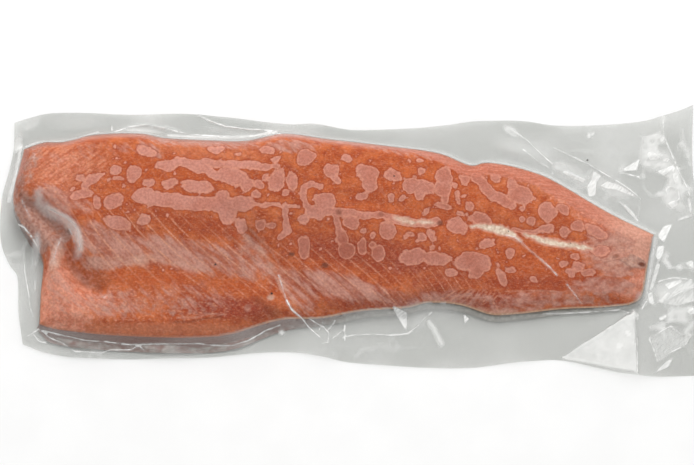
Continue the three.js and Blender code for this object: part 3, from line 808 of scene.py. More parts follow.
def soft_lines(lines, points):
    """The strength of soft-edged lines at each point: the strongest counts."""
    strength = np.zeros(len(points))
    for path, half_width, most in lines:
        inside = half_width * PHOTO_SCALE * SOFT_LINE_REACH - away_from(path, points)
        strength = np.maximum(strength, most * smoothstep(inside, 0, half_width))
    return strength


def spare_pockets():
    """Places and radii of small round pockets, scattered over the flesh. Most are near the least radius."""
    draw = np.random.default_rng(SPARE_POCKET_SEED)
    spots = on_plan(draw.uniform(*SPARE_POCKET_BOX, (SPARE_POCKET_DRAWS, 2)))
    radii = SPARE_POCKET_RADII[0] + np.ptp(SPARE_POCKET_RADII) * draw.random(SPARE_POCKET_DRAWS) ** 3
    frost = soft_areas(FROSTED, spots)
    kept = (form(spots)[0] > ROUNDING_WIDTH) & (frost < SPARE_POCKET_FROST)
    return spots[kept][:SPARE_POCKETS], radii[kept][:SPARE_POCKETS]


def pocket_rims(points):
    """For each air pocket, the distance from each point to its rim."""
    middles = on_pack([pocket[:2] for pocket in AIR_POCKETS])
    for middle, (_, _, *halves, tilt) in zip(middles, AIR_POCKETS):
        yield (reach(points, middle, halves, tilt) - 1) * min(halves) * PHOTO_SCALE
    for path, half_width in AIR_BANDS:
        yield away_from(path, points) - half_width * PHOTO_SCALE
    for spot, radius in zip(*spare_pockets()):
        yield np.hypot(*(points - spot).T) - radius


def pocket_distance(points):
    """Distance to the rim of the nearest air pocket, negative inside. Close pockets flow together."""
    rims = pocket_rims(warped(POCKET_WARP, points))
    total = sum(np.exp(-np.clip(away, *POCKET_REACH) / POCKET_MERGE) for away in rims)
    return -POCKET_MERGE * np.log(total + 1e-30)


def midline_distance(points):
    """Distance to the rim of the pale middle line, negative inside."""
    points = warped(MIDLINE_WARP, points)
    best = np.full(len(points), np.inf)
    for length in MIDLINE:
        line = np.asarray(length, float)
        spots = on_pack(line[:, :2])
        for a, b, half_a, half_b in zip(spots[:-1], spots[1:], line[:-1, 2], line[1:, 2]):
            away, place = nearest(np.stack([a, b]), points)
            share = np.hypot(*(place - a).T) / np.hypot(*(b - a))
            best = np.minimum(best, away - PHOTO_SCALE * (half_a + (half_b - half_a) * share))
    return best


def flake_lines(points, spacing, direction):
    """Distance to the nearest line between two flakes, and a random tone for each flake. The lines run down
    towards the tail, or up if direction is -1."""
    x, y = points.T
    low, high = FLAKE_STATIONS
    run = direction * through_values(FLAKE_RUN, (x - low) / (high - low))
    phase = (x - run * (FLAKE_TOP - y) + waves(FLAKE_DRIFT, points)) / spacing
    tones = np.random.default_rng(FLAKE_TONE_SEED).uniform(-1, 1, FLAKE_TONES)
    tone = tones[np.floor(phase).astype(int) % FLAKE_TONES]
    return np.abs(phase - np.round(phase)) * spacing / np.sqrt(1 + run**2), tone


def sharp_ridge(away):
    """The section of a crease: 1 on its line, 0 a half width away."""
    return np.clip(1 - away / CREASE_HALF_WIDTH, 0, 1) ** CREASE_SHARPNESS


def wrinkle_paths():
    """Short straight wrinkles of the margin, which run outwards from the fillet, and their heights."""
    draw = np.random.default_rng(WRINKLE_SEED)
    closed = even_path(outline, 1)
    for _ in range(WRINKLES):
        i = draw.integers(2, len(closed) - 2)
        tangent = closed[i + 1] - closed[i - 1]
        heading = math.atan2(-tangent[0], tangent[1]) + draw.normal(0, WRINKLE_TURN)
        aim = np.array([math.cos(heading), math.sin(heading)])
        start = closed[i] + aim * draw.uniform(*WRINKLE_STARTS)
        path = np.stack([start, start + aim * draw.uniform(*WRINKLE_LENGTHS)])
        yield path, draw.uniform(*WRINKLE_HEIGHTS)


def wrinkle_height(points):
    """Height of the fine wrinkles: the highest counts."""
    height = np.zeros(len(points))
    for path, rise in wrinkle_paths():
        height = np.maximum(height, rise * sharp_ridge(nearest(path, points)[0]))
    return height


def crumple_pattern(points):
    """Sharp-edged random folds, from 0 to about 1."""
    levels = [(1 - np.abs(noise(points, CRUMPLE_CELL / k, CRUMPLE_SEED + k))) / k for k in CRUMPLE_LEVELS]
    return sum(levels) / CRUMPLE_PEAK


def flap_height(points):
    """Height of the flap, a flat triangle that falls off steeply past its edges, and what is on it."""
    corners = on_pack(FLAP)
    closed = np.vstack([corners, corners[:1]])
    away, place = nearest(closed, points)
    inside = is_inside(closed, points)
    place[inside] = points[inside]
    away[inside] = 0
    edges = (corners[1:] - corners[0]).T
    rises = np.subtract(FLAP_HEIGHTS[1:], FLAP_HEIGHTS[0])
    height = FLAP_HEIGHTS[0] + rises @ np.linalg.solve(edges, (place - corners[0]).T)
    return height * np.clip(1 - away / FLAP_FALL, 0, 1) ** 2, inside


def patch(front, back, left, right, columns, rows):
    """A grid of points between four lines."""
    u = np.linspace(0, 1, columns + 1)
    v = np.linspace(0, 1, rows + 1)
    u3, v3 = u[:, None, None], v[None, :, None]
    between = along(front, u)[:, None] * (1 - v3) + along(back, u)[:, None] * v3
    between = between + along(left, v)[None] * (1 - u3) + along(right, v)[None] * u3
    near = front[0] * (1 - u3) + front[-1] * u3
    far = back[0] * (1 - u3) + back[-1] * u3
    return between - near * (1 - v3) - far * v3


def grid_faces(columns, rows, first=0):
    """Quads of a grid of points stored column by column, facing up."""
    i, j = np.meshgrid(np.arange(columns), np.arange(rows), indexing="ij")
    a = first + i * (rows + 1) + j
    return np.stack([a, a + rows + 1, a + rows + 2, a + 1], axis=-1).reshape(-1, 4)


def grid_rim(columns, rows, first=0):
    """Indices round a grid, anticlockwise from above."""
    i, j = np.arange(columns), np.arange(rows)
    side = rows + 1
    return first + np.concatenate([i * side, columns * side + j, (columns - i) * side + rows, rows - j])


def wall_faces(upper, lower):
    """Quads between two loops of points, facing outwards."""
    return np.stack([lower, np.roll(lower, -1), np.roll(upper, -1), upper], axis=1).tolist()


def link(name, data):
    """A new object in the scene."""
    made = bpy.data.objects.new(name, data)
    bpy.context.scene.collection.objects.link(made)
    return made


def make_object(name, points, faces, fields, materials):
    """A smooth mesh object in metres about the pack's middle. Each field is a named value at each point."""
    points = (points - [*pack_middle, 0]) * METRES
    mesh = bpy.data.meshes.new(name)
    mesh.from_pydata(points.tolist(), [], faces)
    for field, values in fields.items():
        mesh.attributes.new(field, "FLOAT", "POINT").data.foreach_set("value", values.astype(np.float32))
    mesh.shade_smooth()
    mesh.set_sharp_from_angle(angle=SHARP_ANGLE)
    for material in materials:
        mesh.materials.append(material)
    return link(name, mesh)


def flake_fields(points, breakup):
    """The lines between the flakes, how strongly they show, and the tone of each flake."""
    strength = np.maximum(soft_areas(FLAKE_AREAS, points), LEAST_FLAKES)
    fine_strength = soft_areas(FINE_FLAKE_AREAS, points)
    is_fine = fine_strength > FINE_FLAKE_LIMIT
    lines, tone = flake_lines(points, FLAKE_SPACING, 1)
    fine_lines, fine_tone = flake_lines(points, FINE_FLAKE_SPACING, -1)
    faded = np.clip(FADE_LEVEL + waves(FADE_WAVES, points), LEAST_FADE, 1)
    return {
        "flake": np.where(is_fine, fine_lines, lines),
        "flake_strength": np.where(is_fine, fine_strength, strength) * breakup * faded,
        "flake_tone": np.where(is_fine, fine_tone, tone) * np.maximum(strength, fine_strength),
    }


def flesh_fields(points, depth):
    """What the flesh's colours are made from, at each point."""
    breakup = np.clip(PALE_LEVEL + waves(PALE_WAVES, points), 0, 1)
    x, y = points.T
    back = np.interp(x, *back_edge.T)
    # Pale tissue and cream, with painted highlights
    pale = np.maximum(soft_lines(PALE_AND_HIGHLIGHT_LINES, points), soft_areas(PALE_AND_GLINT_SPOTS, points))
    return {
        **{name: soft_areas(areas, points) for name, areas in AREA_FIELDS.items()},
        **flake_fields(points, breakup),
        "pocket": pocket_distance(points),
        "midline": midline_distance(points),
        "flecked": np.maximum(soft_areas(FLECKED, points), LEAST_FLECKED),
        # Dark spots of the flesh and painted shade
        "spots_and_shade": np.maximum(soft_areas(DARK_SPOTS_AND_SHADE, points), soft_lines(DARK_LINES, points)),
        "pale": pale * breakup,
        "depth": depth,
        "behind": np.where(y > back - BACK_BAND, depth, FAR_AWAY),
        "towards_tail": x / FILLET_LENGTH,
    }


def outwards(loop):
    """Unit directions away from a loop of points that runs anticlockwise."""
    tangent = np.roll(loop, -2, axis=0) - np.roll(loop, 2, axis=0)
    return np.column_stack([tangent[:, 1], -tangent[:, 0]]) / np.hypot(*tangent.T)[:, None]


def fillet_rings(edge):
    """Rings of points down the fillet's wall from its top edge, and how much each point faces the front.
    In front the wall follows the film's skirt as a dark sheet that stands in for the shadow there, and all of
    it keeps clear of both plies."""
    aim = outwards(edge[:, :2])
    front = np.clip(-aim[:, 1], 0, 1)
    follows = np.interp(edge[:, 0] / FILLET_LENGTH, WALL_STATIONS, WALL_FOLLOWS) * front
    skirt = (SKIRT_LEAST + SKIRT_PER_HEIGHT * edge[:, 2]) * follows
    spread = aim * skirt[:, None]
    rings = []
    for ring in range(1, WALL_RINGS + 1):
        left = 1 - ring / WALL_RINGS
        wall = edge.copy()
        wall[:, :2] += spread * (1 - math.sqrt(left))
        _, under, over = form(wall[:, :2])
        planned = FILLET_UNDERSIDE + (wall[:, 2] - FILLET_UNDERSIDE) * left
        wall[:, 2] = np.clip(planned, under + PLY + FILM_GAP, over - PLY - FILM_GAP)
        rings.append(wall)
    return rings, front


def fillet_mesh(flesh, skin):
    """The fillet: its top just under the film, its wall and a flat underside."""
    points = patch(belly_edge, back_edge, head_end, tail_end, FILLET_COLUMNS, FILLET_ROWS).reshape(-1, 2)
    depth, _, film_top = form(points)
    height = film_top - FLESH_BELOW_FILM + waves(FLESH_GRAIN, points)
    top = np.column_stack([points, np.maximum(height, 2 * FILLET_UNDERSIDE)])
    rim = grid_rim(FILLET_COLUMNS, FILLET_ROWS)
    rings, front = fillet_rings(top[rim])
    loops = [rim]
    loops += [len(top) + ring * len(rim) + np.arange(len(rim)) for ring in range(WALL_RINGS)]
    faces = grid_faces(FILLET_COLUMNS, FILLET_ROWS).tolist()
    faces_on_top = len(faces)
    for upper, lower in zip(loops[:-1], loops[1:]):
        faces += wall_faces(upper, lower)
    faces.append(loops[-1][::-1].tolist())
    picked = np.concatenate([np.arange(len(top)), *[rim] * WALL_RINGS])
    fields = {name: values[picked] for name, values in flesh_fields(points, depth).items()}
    on_top = np.zeros(len(top))
    rings_down = np.repeat(np.arange(1, WALL_RINGS + 1), len(rim)) / WALL_RINGS
    fields["down_wall"] = np.concatenate([on_top, rings_down])
    fields["front"] = np.concatenate([on_top, np.tile(front, WALL_RINGS)])
    fillet = make_object("fillet", np.vstack([top, *rings]), faces, fields, [flesh, skin])
    slots = np.ones(len(faces), np.int32)
    slots[:faces_on_top] = 0
    fillet.data.polygons.foreach_set("material_index", slots)
    return fillet


def film_plan(folds):
    """The film's grid, with its points near a fold moved on to it so that the fold is a clean line."""
    plan = patch(pouch_front, pouch_back, pouch_left, pouch_right, FILM_COLUMNS, FILM_ROWS)
    step = FILLET_LENGTH / FILM_COLUMNS
    off_rim = (slice(2, -2), slice(2, -2))
    inner = plan[off_rim].reshape(-1, 2)
    for line in [outline, *folds]:
        away, place = nearest(line, inner)
        close = away < SNAP_SHARE * step
        inner[close] = place[close]
    plan[off_rim] = inner.reshape(plan[off_rim].shape)
    return plan


def painted_back_light(points, depth):
    """Painted light on the film's skirt along the back edge and the tail, on the side that faces the light.
    """
    _, place = nearest(outline, points)
    aim = (points - place) / np.maximum(np.abs(depth), 0.01)[:, None]
    turned_back = np.clip(aim @ PAINTED_BACK_LIGHT_FROM, 0, 1)
    return np.where(depth < 0, PAINTED_BACK_LIGHT * turned_back * np.exp(-((depth / PAINTED_BACK_LIGHT_WIDTH) ** 2)), 0)


def fold_fields(creases, points):
    """Height of the creases, the distance to the nearest one and how white that one is: stress whitening and
    a painted glint.
    """
    height = np.zeros(len(points))
    fold = np.full(len(points), 2.0 * CREASE_HALF_WIDTH)
    white = np.zeros(len(points))
    for rise, whitening, path in creases:
        away, _ = nearest(path, points)
        height = np.maximum(height, rise * sharp_ridge(away))
        white = np.where(away < fold, whitening, white)
        fold = np.minimum(fold, away)
    return height, fold, white


def facet_fields(facets, points):
    """Distance to the rim of the nearest facet, negative inside, and how bright its painted reflection is."""
    rim = np.full(len(points), 2.0 * CREASE_HALF_WIDTH)
    white = np.zeros(len(points))
    for whitening, path in facets:
        away, _ = nearest(path, points)
        away = np.where(is_inside(path, points), -away, away)
        white = np.where(away < rim, whitening, white)
        rim = np.minimum(rim, away)
    return rim, white


def roll_fields(points):
    """Height of the rolls, and their whitening, a painted highlight."""
    height = np.zeros(len(points))
    white = np.zeros(len(points))
    for path, rise, half_width, whitening in ROLLS:
        ridge = smoothstep(half_width - away_from(path, points), 0, half_width)
        height = height + rise * ridge
        white = np.maximum(white, whitening * ridge)
    return height, white


def film_haze_and_highlights(points, depth, pattern, crumpled, on_flap):
    """How white the film is, apart from its folds, facets and rolls: haze over the margin, and painted
    highlights on the flap, patches, crumples and the skirt that faces the light. The whitest counts.
    """
    mottled = LEAST_MOTTLE + (1 - LEAST_MOTTLE) * pattern
    flap = FLAP_HIGHLIGHT * on_flap * (1 + mottled) / 2
    patches = soft_areas(PAINTED_GLINTS, points) * mottled
    haze = MARGIN_HAZE * (0.5 + waves(HAZE_WAVES, points)) ** 2
    streaks = CRUMPLE_HIGHLIGHT * crumpled * smoothstep(pattern, *CRUMPLE_STREAKS)
    margin = np.where(depth < 0, np.maximum(haze, streaks), 0)
    return np.maximum.reduce([flap, patches, margin, painted_back_light(points, depth)])


def film_surface():
    """Plan, underside and top of the pouch on a grid, and what the upper film's looks are made from."""
    creases = [(height, white, on_pack(path)) for height, white, paths in CREASES for path in paths]
    facets = [(white, on_pack([*corners, corners[0]])) for white, corners in FACETS]
    plan = film_plan([path for *_, path in [*creases, *facets]])
    points = plan.reshape(-1, 2)
    depth, under, top = form(points)
    flap, on_flap = flap_height(points)
    pattern = crumple_pattern(points)
    crumpled = soft_areas(CRUMPLED, points)
    creased, fold, fold_white_and_glint = fold_fields(creases, points)
    facet, facet_reflection = facet_fields(facets, points)
    rolled, roll_highlight = roll_fields(points)
    loose = (pattern * crumpled + wrinkle_height(points)) * smoothstep(-depth, *LOOSE_FROM)
    pockets = smoothstep(-pocket_distance(points), *POCKET_SLOPE) * smoothstep(depth, 0, POCKET_INSET)
    top = np.maximum(top, under + MARGIN_THICKNESS + flap)
    top = top + creased + rolled + loose + POCKET_RELIEF * pockets
    fields = {
        "haze_and_glints": np.maximum(roll_highlight, film_haze_and_highlights(points, depth, pattern, crumpled, on_flap)),
        "fold": fold,
        "fold_white_and_glint": fold_white_and_glint,
        "facet": facet,
        "facet_reflection": facet_reflection,
    }
    shape = plan.shape[:2]
    return plan, under.reshape(shape), top.reshape(shape), fields


def ply_mesh(name, plan, upper, lower, fields, material):
    """A sheet of film between two surfaces on the same grid. It is too clear to cast a shadow."""
    columns, rows = upper.shape[0] - 1, upper.shape[1] - 1
    points = [np.concatenate([plan, level[..., None]], axis=-1).reshape(-1, 3) for level in (upper, lower)]
    count = len(points[0])
    faces = grid_faces(columns, rows).tolist()
    faces += grid_faces(columns, rows, first=count)[:, ::-1].tolist()
    faces += wall_faces(grid_rim(columns, rows), grid_rim(columns, rows, first=count))
    fields = {field: np.tile(values, 2) for field, values in fields.items()}
    ply = make_object(name, np.vstack(points), faces, fields, [material])
    ply.visible_shadow = False
    return ply


def film_meshes(material):
    """The pouch's two plies. The lower one has half the steps, and no white folds or painted highlights."""
    plan, under, top, fields = film_surface()
    upper_ply = ply_mesh("upper_film", plan, top, top - PLY, fields, material)
    half = (slice(None, None, 2),) * 2
    lower_ply = ply_mesh("lower_film", plan[half], under[half] + PLY, under[half], {}, material)
    return upper_ply, lower_ply


def linear(red, green, blue):
    """A colour of the photograph as light, by the sRGB curve."""
    share = np.array([red, green, blue]) / 255
    return np.where(share <= 0.04045, share / 12.92, ((share + 0.055) / 1.055) ** 2.4)


def paint(red, green, blue):
    """A surface's own colour from its colour in the photograph."""
    return (*linear(red, green, blue), 1)


def under_film(red, green, blue):
    """The flesh's own colour, from its colour seen through the film."""
    return (*np.clip((linear(red, green, blue) - FILM_GLARE) / FILM_PASS, DARKEST, 1), 1)


PALETTE = {name: under_film(*seen) for name, seen in FLESH_COLOURS.items()}
PALETTE |= {name: paint(*seen) for name, seen in OTHER_COLOURS.items()}


class Graph:
    """A material's nodes, with a short call for each kind that is used here."""

    MIX_COLOUR_INPUTS = (6, 7)
    MIX_COLOUR_OUTPUT = 2

    def __init__(self, name):
        self.material = bpy.data.materials.new(name)
        self.material.use_nodes = True
        self.tree = self.material.node_tree
        self.tree.nodes.clear()
        self.place = self.node("ShaderNodeTexCoord").outputs["Object"]

    def node(self, kind, inputs=None, **settings):
        made = self.tree.nodes.new(kind)
        for name, value in settings.items():
            setattr(made, name, value)
        for name, value in (inputs or {}).items():
            self.feed(made.inputs[name], value)
        return made

    def feed(self, socket, value):
        """Gives an input a link, a value, or a colour by its name."""
        if isinstance(value, bpy.types.NodeSocket):
            self.tree.links.new(value, socket)
        else:
            socket.default_value = PALETTE[value] if isinstance(value, str) else value

    def field(self, name):
        return self.node("ShaderNodeAttribute", attribute_name=name).outputs["Fac"]

    def noise(self, size, detail=2.0, stretch=(1, 1, 1), turn=0.0):
        """Random values from 0 to 1, in patches of so many millimetres, stretched and turned by degrees."""
        mapping = self.node("ShaderNodeMapping", {
            "Vector": self.place,
            "Rotation": (0, 0, math.radians(turn)),
            "Scale": [size * METRES * s for s in stretch],
        }, vector_type="TEXTURE")
        made = self.node("ShaderNodeTexNoise", {"Vector": mapping.outputs[0], "Scale": 1.0, "Detail": detail})
        return made.outputs["Fac"]

    def math(self, operation, a, b=0.0):
        return self.node("ShaderNodeMath", {0: a, 1: b}, operation=operation).outputs[0]

    def times(self, *values):
        product = values[0]
        for value in values[1:]:
            product = self.math("MULTIPLY", product, value)
        return product

    def ramp(self, value, low, high, start=0.0, end=1.0):
        """A smooth change from start to end as value goes from low to high."""
        inputs = {"Value": value, "From Min": low, "From Max": high, "To Min": start, "To Max": end}
        return self.node("ShaderNodeMapRange", inputs, interpolation_type="SMOOTHSTEP").outputs["Result"]

    def pattern(self, size, detail, low, high, start=0.0, end=1.0, **shape):
        """A noise with its values from low to high spread over start to end."""
        return self.ramp(self.noise(size, detail, **shape), low, high, start, end)

    def patchy(self, share, pattern, most=1.0):
        """A share broken into patches by a random pattern, with irregular edges."""
        spread = self.ramp(pattern, 0.25, 0.75, -0.3, 0.3)
        return self.ramp(self.math("ADD", share, spread), 0.1, 0.9, 0, most)

    def mix(self, share, first, second, blend="MIX"):
        a, b = self.MIX_COLOUR_INPUTS
        made = self.node("ShaderNodeMix", {0: share, a: first, b: second}, data_type="RGBA", blend_type=blend)
        return made.outputs[self.MIX_COLOUR_OUTPUT]

    def layers(self, colour, *layers):
        """Colours laid over a first one in turn, each given by its share and itself."""
        for share, above in layers:
            colour = self.mix(share, colour, above)
        return colour

    def bump(self, height, distance, strength=1.0):
        inputs = {"Height": height, "Distance": distance * METRES, "Strength": strength}
        return self.node("ShaderNodeBump", inputs).outputs[0]

    def principled(self, colour, roughness, inputs=None):
        inputs = {"Base Color": colour, "Roughness": roughness, **(inputs or {})}
        return self.node("ShaderNodeBsdfPrincipled", inputs)

    def finish(self, shader):
        output = self.node("ShaderNodeOutputMaterial")
        self.tree.links.new(shader.outputs[0], output.inputs["Surface"])
        return self.material


def flesh_ground(g, patches, grain):
    """Orange flesh with warm, deep, light, streaked and pink areas, and a fine grain."""
    ground = g.mix(g.pattern(9, 4, 0.35, 0.65), "orange_dark", "orange")
    strands = g.pattern(3, 3, 0.36, 0.64, stretch=(4, 0.7, 1), turn=38)
    return g.layers(
        ground,
        (g.times(g.field("warm"), g.ramp(patches, 0.3, 0.7, 0.4, 1)), "warm"),
        (g.field("deep"), "deep"),
        (g.field("light"), "light"),
        (g.times(g.field("streaked"), 0.75), g.mix(strands, "strand_dark", "strand")),
        (
            g.patchy(g.field("pink"), g.noise(3, 4), 0.95),
            g.mix(g.ramp(patches, 0.35, 0.65), "pink_dark", "pink"),
        ),
        (g.ramp(grain, 0.45, 0.75, 0, 0.4), "grain"),
    )


def flesh_frost(g, colour, patches):
    """Frosted areas, which are streaky along the flakes except at the tail, mauve areas and flecks."""
    tail = g.ramp(g.field("towards_tail"), 0.62, 0.7)
    streaky = g.times(g.noise(4, 3, stretch=(3.0, 0.75, 1), turn=-44), g.math("SUBTRACT", 1, tail))
    blended = g.math("ADD", streaky, g.times(g.noise(4, 4, stretch=(1.8, 1, 1)), tail))
    toned = g.math("ADD", blended, g.times(g.field("flake_tone"), 0.14))
    frost = g.mix(g.ramp(toned, 0.3, 0.7), "frost_dark", "frost")
    mauve = g.mix(g.pattern(2.5, 4, 0.35, 0.65), "mauve_dark", "mauve")
    flecks = g.pattern(1.9, 4, 0.54, 0.66, stretch=(1.3, 0.8, 1))
    return g.layers(
        colour,
        (g.patchy(g.field("frosted"), toned, 0.92), frost),
        (g.patchy(g.field("mauve"), patches, 0.9), mauve),
        (g.times(flecks, g.field("flecked"), 0.7), "fleck"),
    )


def flesh_pockets(g, colour, ragged):
    """Air pockets: painted shade round them, hazy air inside and a painted highlight on the rim."""
    pocket = g.math("ADD", g.field("pocket"), ragged)
    tail = g.ramp(g.field("towards_tail"), 0.3, 0.75)
    air = g.layers(
        g.mix(tail, "air_head", "air_tail"),
        (g.times(g.ramp(pocket, -0.8, -4), tail, 0.2), "air_middle"),
        (g.field("dull_air"), "air_dull"),
    )
    inside = g.times(g.ramp(pocket, 0.25, -0.25, 0, 0.95), g.pattern(16, 2, 0.35, 0.65, 0.7, 1.0))
    from_rim = g.math("ABSOLUTE", g.math("ADD", pocket, 0.55))
    return g.layers(
        colour,
        (g.ramp(pocket, 1.4, 0.2, 0, 0.5), "painted_pocket_shade"),
        (inside, air),
        (g.ramp(from_rim, 0.8, 0.15, 0, 0.55), "painted_pocket_rim_highlight"),
    )


def flesh_edges(g, colour, patches):
    """A streaky band along the back edge, wider at the tail, a dull edge all round, paler in front."""
    tail = g.field("towards_tail")
    behind = g.field("behind")
    depth = g.field("depth")
    wavy_depth = g.math("ADD", behind, g.ramp(patches, 0.2, 0.8, -2.0, 2.0))
    past_band = g.math("SUBTRACT", wavy_depth, g.ramp(tail, 0.6, 0.72, 4.0, 12.0))
    streaks = g.pattern(3, 3, 0.35, 0.65, stretch=(3, 0.5, 1))
    band = g.mix(streaks, "band_dark", "band")
    band = g.mix(g.ramp(tail, 0.89, 0.965, 0, 0.9), band, "band_tip")
    in_front = g.times(g.ramp(behind, 20, 60), g.ramp(tail, 0.3, 0.45))
    return g.layers(
        colour,
        (g.ramp(past_band, 0.8, -0.8, 0, 0.8), band),
        (g.ramp(depth, 1.6, 0.2, 0, 0.6), "edge"),
        (g.times(g.ramp(depth, 1.5, 0.2, 0, 0.75), in_front), "front_edge"),
    )


def flesh_midline(g, colour, ragged):
    """The pale middle line: cream with a few olive spots, whiter towards the tail."""
    middle = g.math("ADD", g.field("midline"), ragged)
    whiteness = g.ramp(g.field("towards_tail"), 0.56, 0.71, 0.35, 1.0)
    core = g.times(g.ramp(middle, -0.3, -2.0, 0, 0.95), whiteness)
    return g.layers(
        colour,
        (g.ramp(middle, 0.9, -0.5, 0, 0.8), "midline_rim"),
        (core, g.mix(g.pattern(3, 3, 0.35, 0.65), "cream_dark", "cream")),
        (g.times(g.pattern(2.4, 2, 0.6, 0.7, 0, 0.55), core), "olive"),
    )


def flesh_material():
    """Wet salmon with frosted areas, flake lines, air pockets and the pale middle line."""
    g = Graph("salmon_flesh")
    grain = g.noise(1.3, 3, stretch=(1.6, 0.8, 1))
    patches = g.noise(5, 4)
    ragged = g.pattern(1.6, 3, 0.2, 0.8, -0.3, 0.3)
    from_flake = g.math("ADD", g.field("flake"), g.ramp(grain, 0.3, 0.7, -0.2, 0.2))
    lines = g.times(g.ramp(from_flake, 0.8, 0.25), g.field("flake_strength"))
    colour = flesh_frost(g, flesh_ground(g, patches, grain), patches)
    # Pale tissue and cream, with painted highlights on a ridge, the roll's rim and a few glints
    colour = g.layers(colour, (g.times(lines, 0.95), "flake_line"), (g.field("pale"), "pale"))
    colour = flesh_pockets(g, colour, ragged)
    colour = flesh_edges(g, colour, patches)
    colour = flesh_midline(g, colour, ragged)
    # Dark spots of the flesh, and painted shade in the head's fold, a crease and a trough
    colour = g.mix(g.field("spots_and_shade"), colour, "spots_and_shade")
    colour = g.mix(1.0, colour, g.mix(g.pattern(1.8, 4, 0.34, 0.66), *FINE_TONES), "MULTIPLY")
    relief = g.math("ADD", g.times(lines, 0.6), grain)
    roughness = g.ramp(grain, 0.2, 0.8, 0.4, 0.55)
    finish = {"Specular IOR Level": 0.15, "Normal": g.bump(relief, 0.15, 0.5)}
    return g.finish(g.principled(colour, roughness, finish))


def cut_edge(g):
    """The wall's cut upper part: its share, and its colour, which in front is dull and partly painted
    shadow, and flesh behind.
    """
    along_wall = g.ramp(g.field("towards_tail"), 0.4, 0.6)
    in_front = g.ramp(g.field("front"), 0.1, 0.5)
    dull = g.mix(along_wall, "cut_shade_head", "cut_shade_tail")
    flesh = g.pattern(3, 4, 0.35, 0.65, stretch=(0.6, 0.6, 2))
    flesh = g.mix(flesh, "cut_dark", "cut_light")
    skin_from = g.times(g.ramp(along_wall, 0, 1, 1.3, 0.7), g.ramp(in_front, 0, 1, 0.75, 1))
    ends = g.math("ADD", g.pattern(6, 3, 0.3, 0.7, -0.15, 0.15), skin_from)
    share = g.ramp(g.math("SUBTRACT", g.field("down_wall"), ends), 0.05, -0.6, 0, 0.95)
    return share, g.mix(in_front, flesh, dull)


def skin_material():
    """The wall and underside: silver skin with small scales, darker towards the back, below a cut edge whose
    dull colour in front is partly painted shadow.
    """
    g = Graph("salmon_skin")
    cells = g.node("ShaderNodeTexVoronoi", {"Vector": g.place, "Scale": SCALES_PER_METRE}, feature="F1")
    scale = g.ramp(cells.outputs["Distance"], 0.0, 0.75)
    across = g.node("ShaderNodeSeparateXYZ", {"Vector": g.place}).outputs["Y"]
    towards_back = g.ramp(g.math("ADD", across, g.pattern(12, 3, 0, 1, -0.01, 0.01)), -0.01, 0.05)
    colour = g.layers(
        g.mix(towards_back, "belly_skin", "back_skin"),
        (g.times(scale, 0.3), "scale"),
        (g.times(g.pattern(7, 2, 0.64, 0.7), towards_back), "spot"),
        cut_edge(g),
    )
    roughness = g.ramp(scale, 0, 1, 0.3, 0.5)
    finish = {"Metallic": 0.2, "Normal": g.bump(scale, 0.3, 0.6)}
    return g.finish(g.principled(colour, roughness, finish))


def film_white_with_highlights(g):
    """How much of the film is white: haze and painted highlights, thin bright lines along the folds that are
    partly painted glints, and facets, whose white is a painted reflection.
    """
    fade = g.pattern(11, 2, 0.35, 0.6, 0.4, 1.0)
    fold = g.math("ADD", g.field("fold"), g.pattern(5, 2, 0.3, 0.7, -0.15, 0.25))
    line = g.math("MAXIMUM", g.ramp(fold, 0.65, 0.15), g.ramp(fold, 1.8, 0.0, 0, 0.3))
    shreds = g.pattern(2.4, 3, 0.36, 0.6, 0.72, 1.0, stretch=(2, 0.7, 1), turn=50)
    facet = g.times(g.ramp(g.field("facet"), 0.5, -0.6), shreds, g.field("facet_reflection"))
    white = g.math("MAXIMUM", g.field("haze_and_glints"), g.times(line, fade, g.field("fold_white_and_glint")))
    return g.times(g.math("MAXIMUM", white, facet), g.pattern(8, 2, 0.3, 0.7, 0.85, 1.0))


def film_material():
    """Clear film: it lets most light through and mirrors the rest. Its white along folds, facets and rolls is
    partly stress whitening and partly painted highlights.
    """
    g = Graph("clear_film")
    stretch = g.noise(9, 3, stretch=(1.7, 0.7, 1))
    ripple = g.bump(stretch, 0.3, 0.5)
    facing = g.node("ShaderNodeLayerWeight", {"Blend": 0.5}).outputs["Facing"]
    mirror = g.math("MAXIMUM", g.math("POWER", facing, 5.0), FILM_MIRROR)
    clear = g.node("ShaderNodeBsdfTransparent", {"Color": PLY_TINT})
    gloss = g.node("ShaderNodeBsdfGlossy", {
        "Roughness": g.ramp(stretch, 0.3, 0.7, 0.14, 0.24),
        "Normal": ripple,
    })
    sheet = g.node("ShaderNodeMixShader", {0: mirror, 1: clear.outputs[0], 2: gloss.outputs[0]})
    haze_and_glint_white = g.principled("haze_and_glint_white", 0.3, {"Normal": ripple})
    white = film_white_with_highlights(g)
    return g.finish(g.node("ShaderNodeMixShader", {0: white, 1: sheet.outputs[0], 2: haze_and_glint_white.outputs[0]}))


def speck_material():
    g = Graph("dark_speck")
    return g.finish(g.principled(g.mix(g.noise(0.5), "speck_dark", "speck"), 0.6))


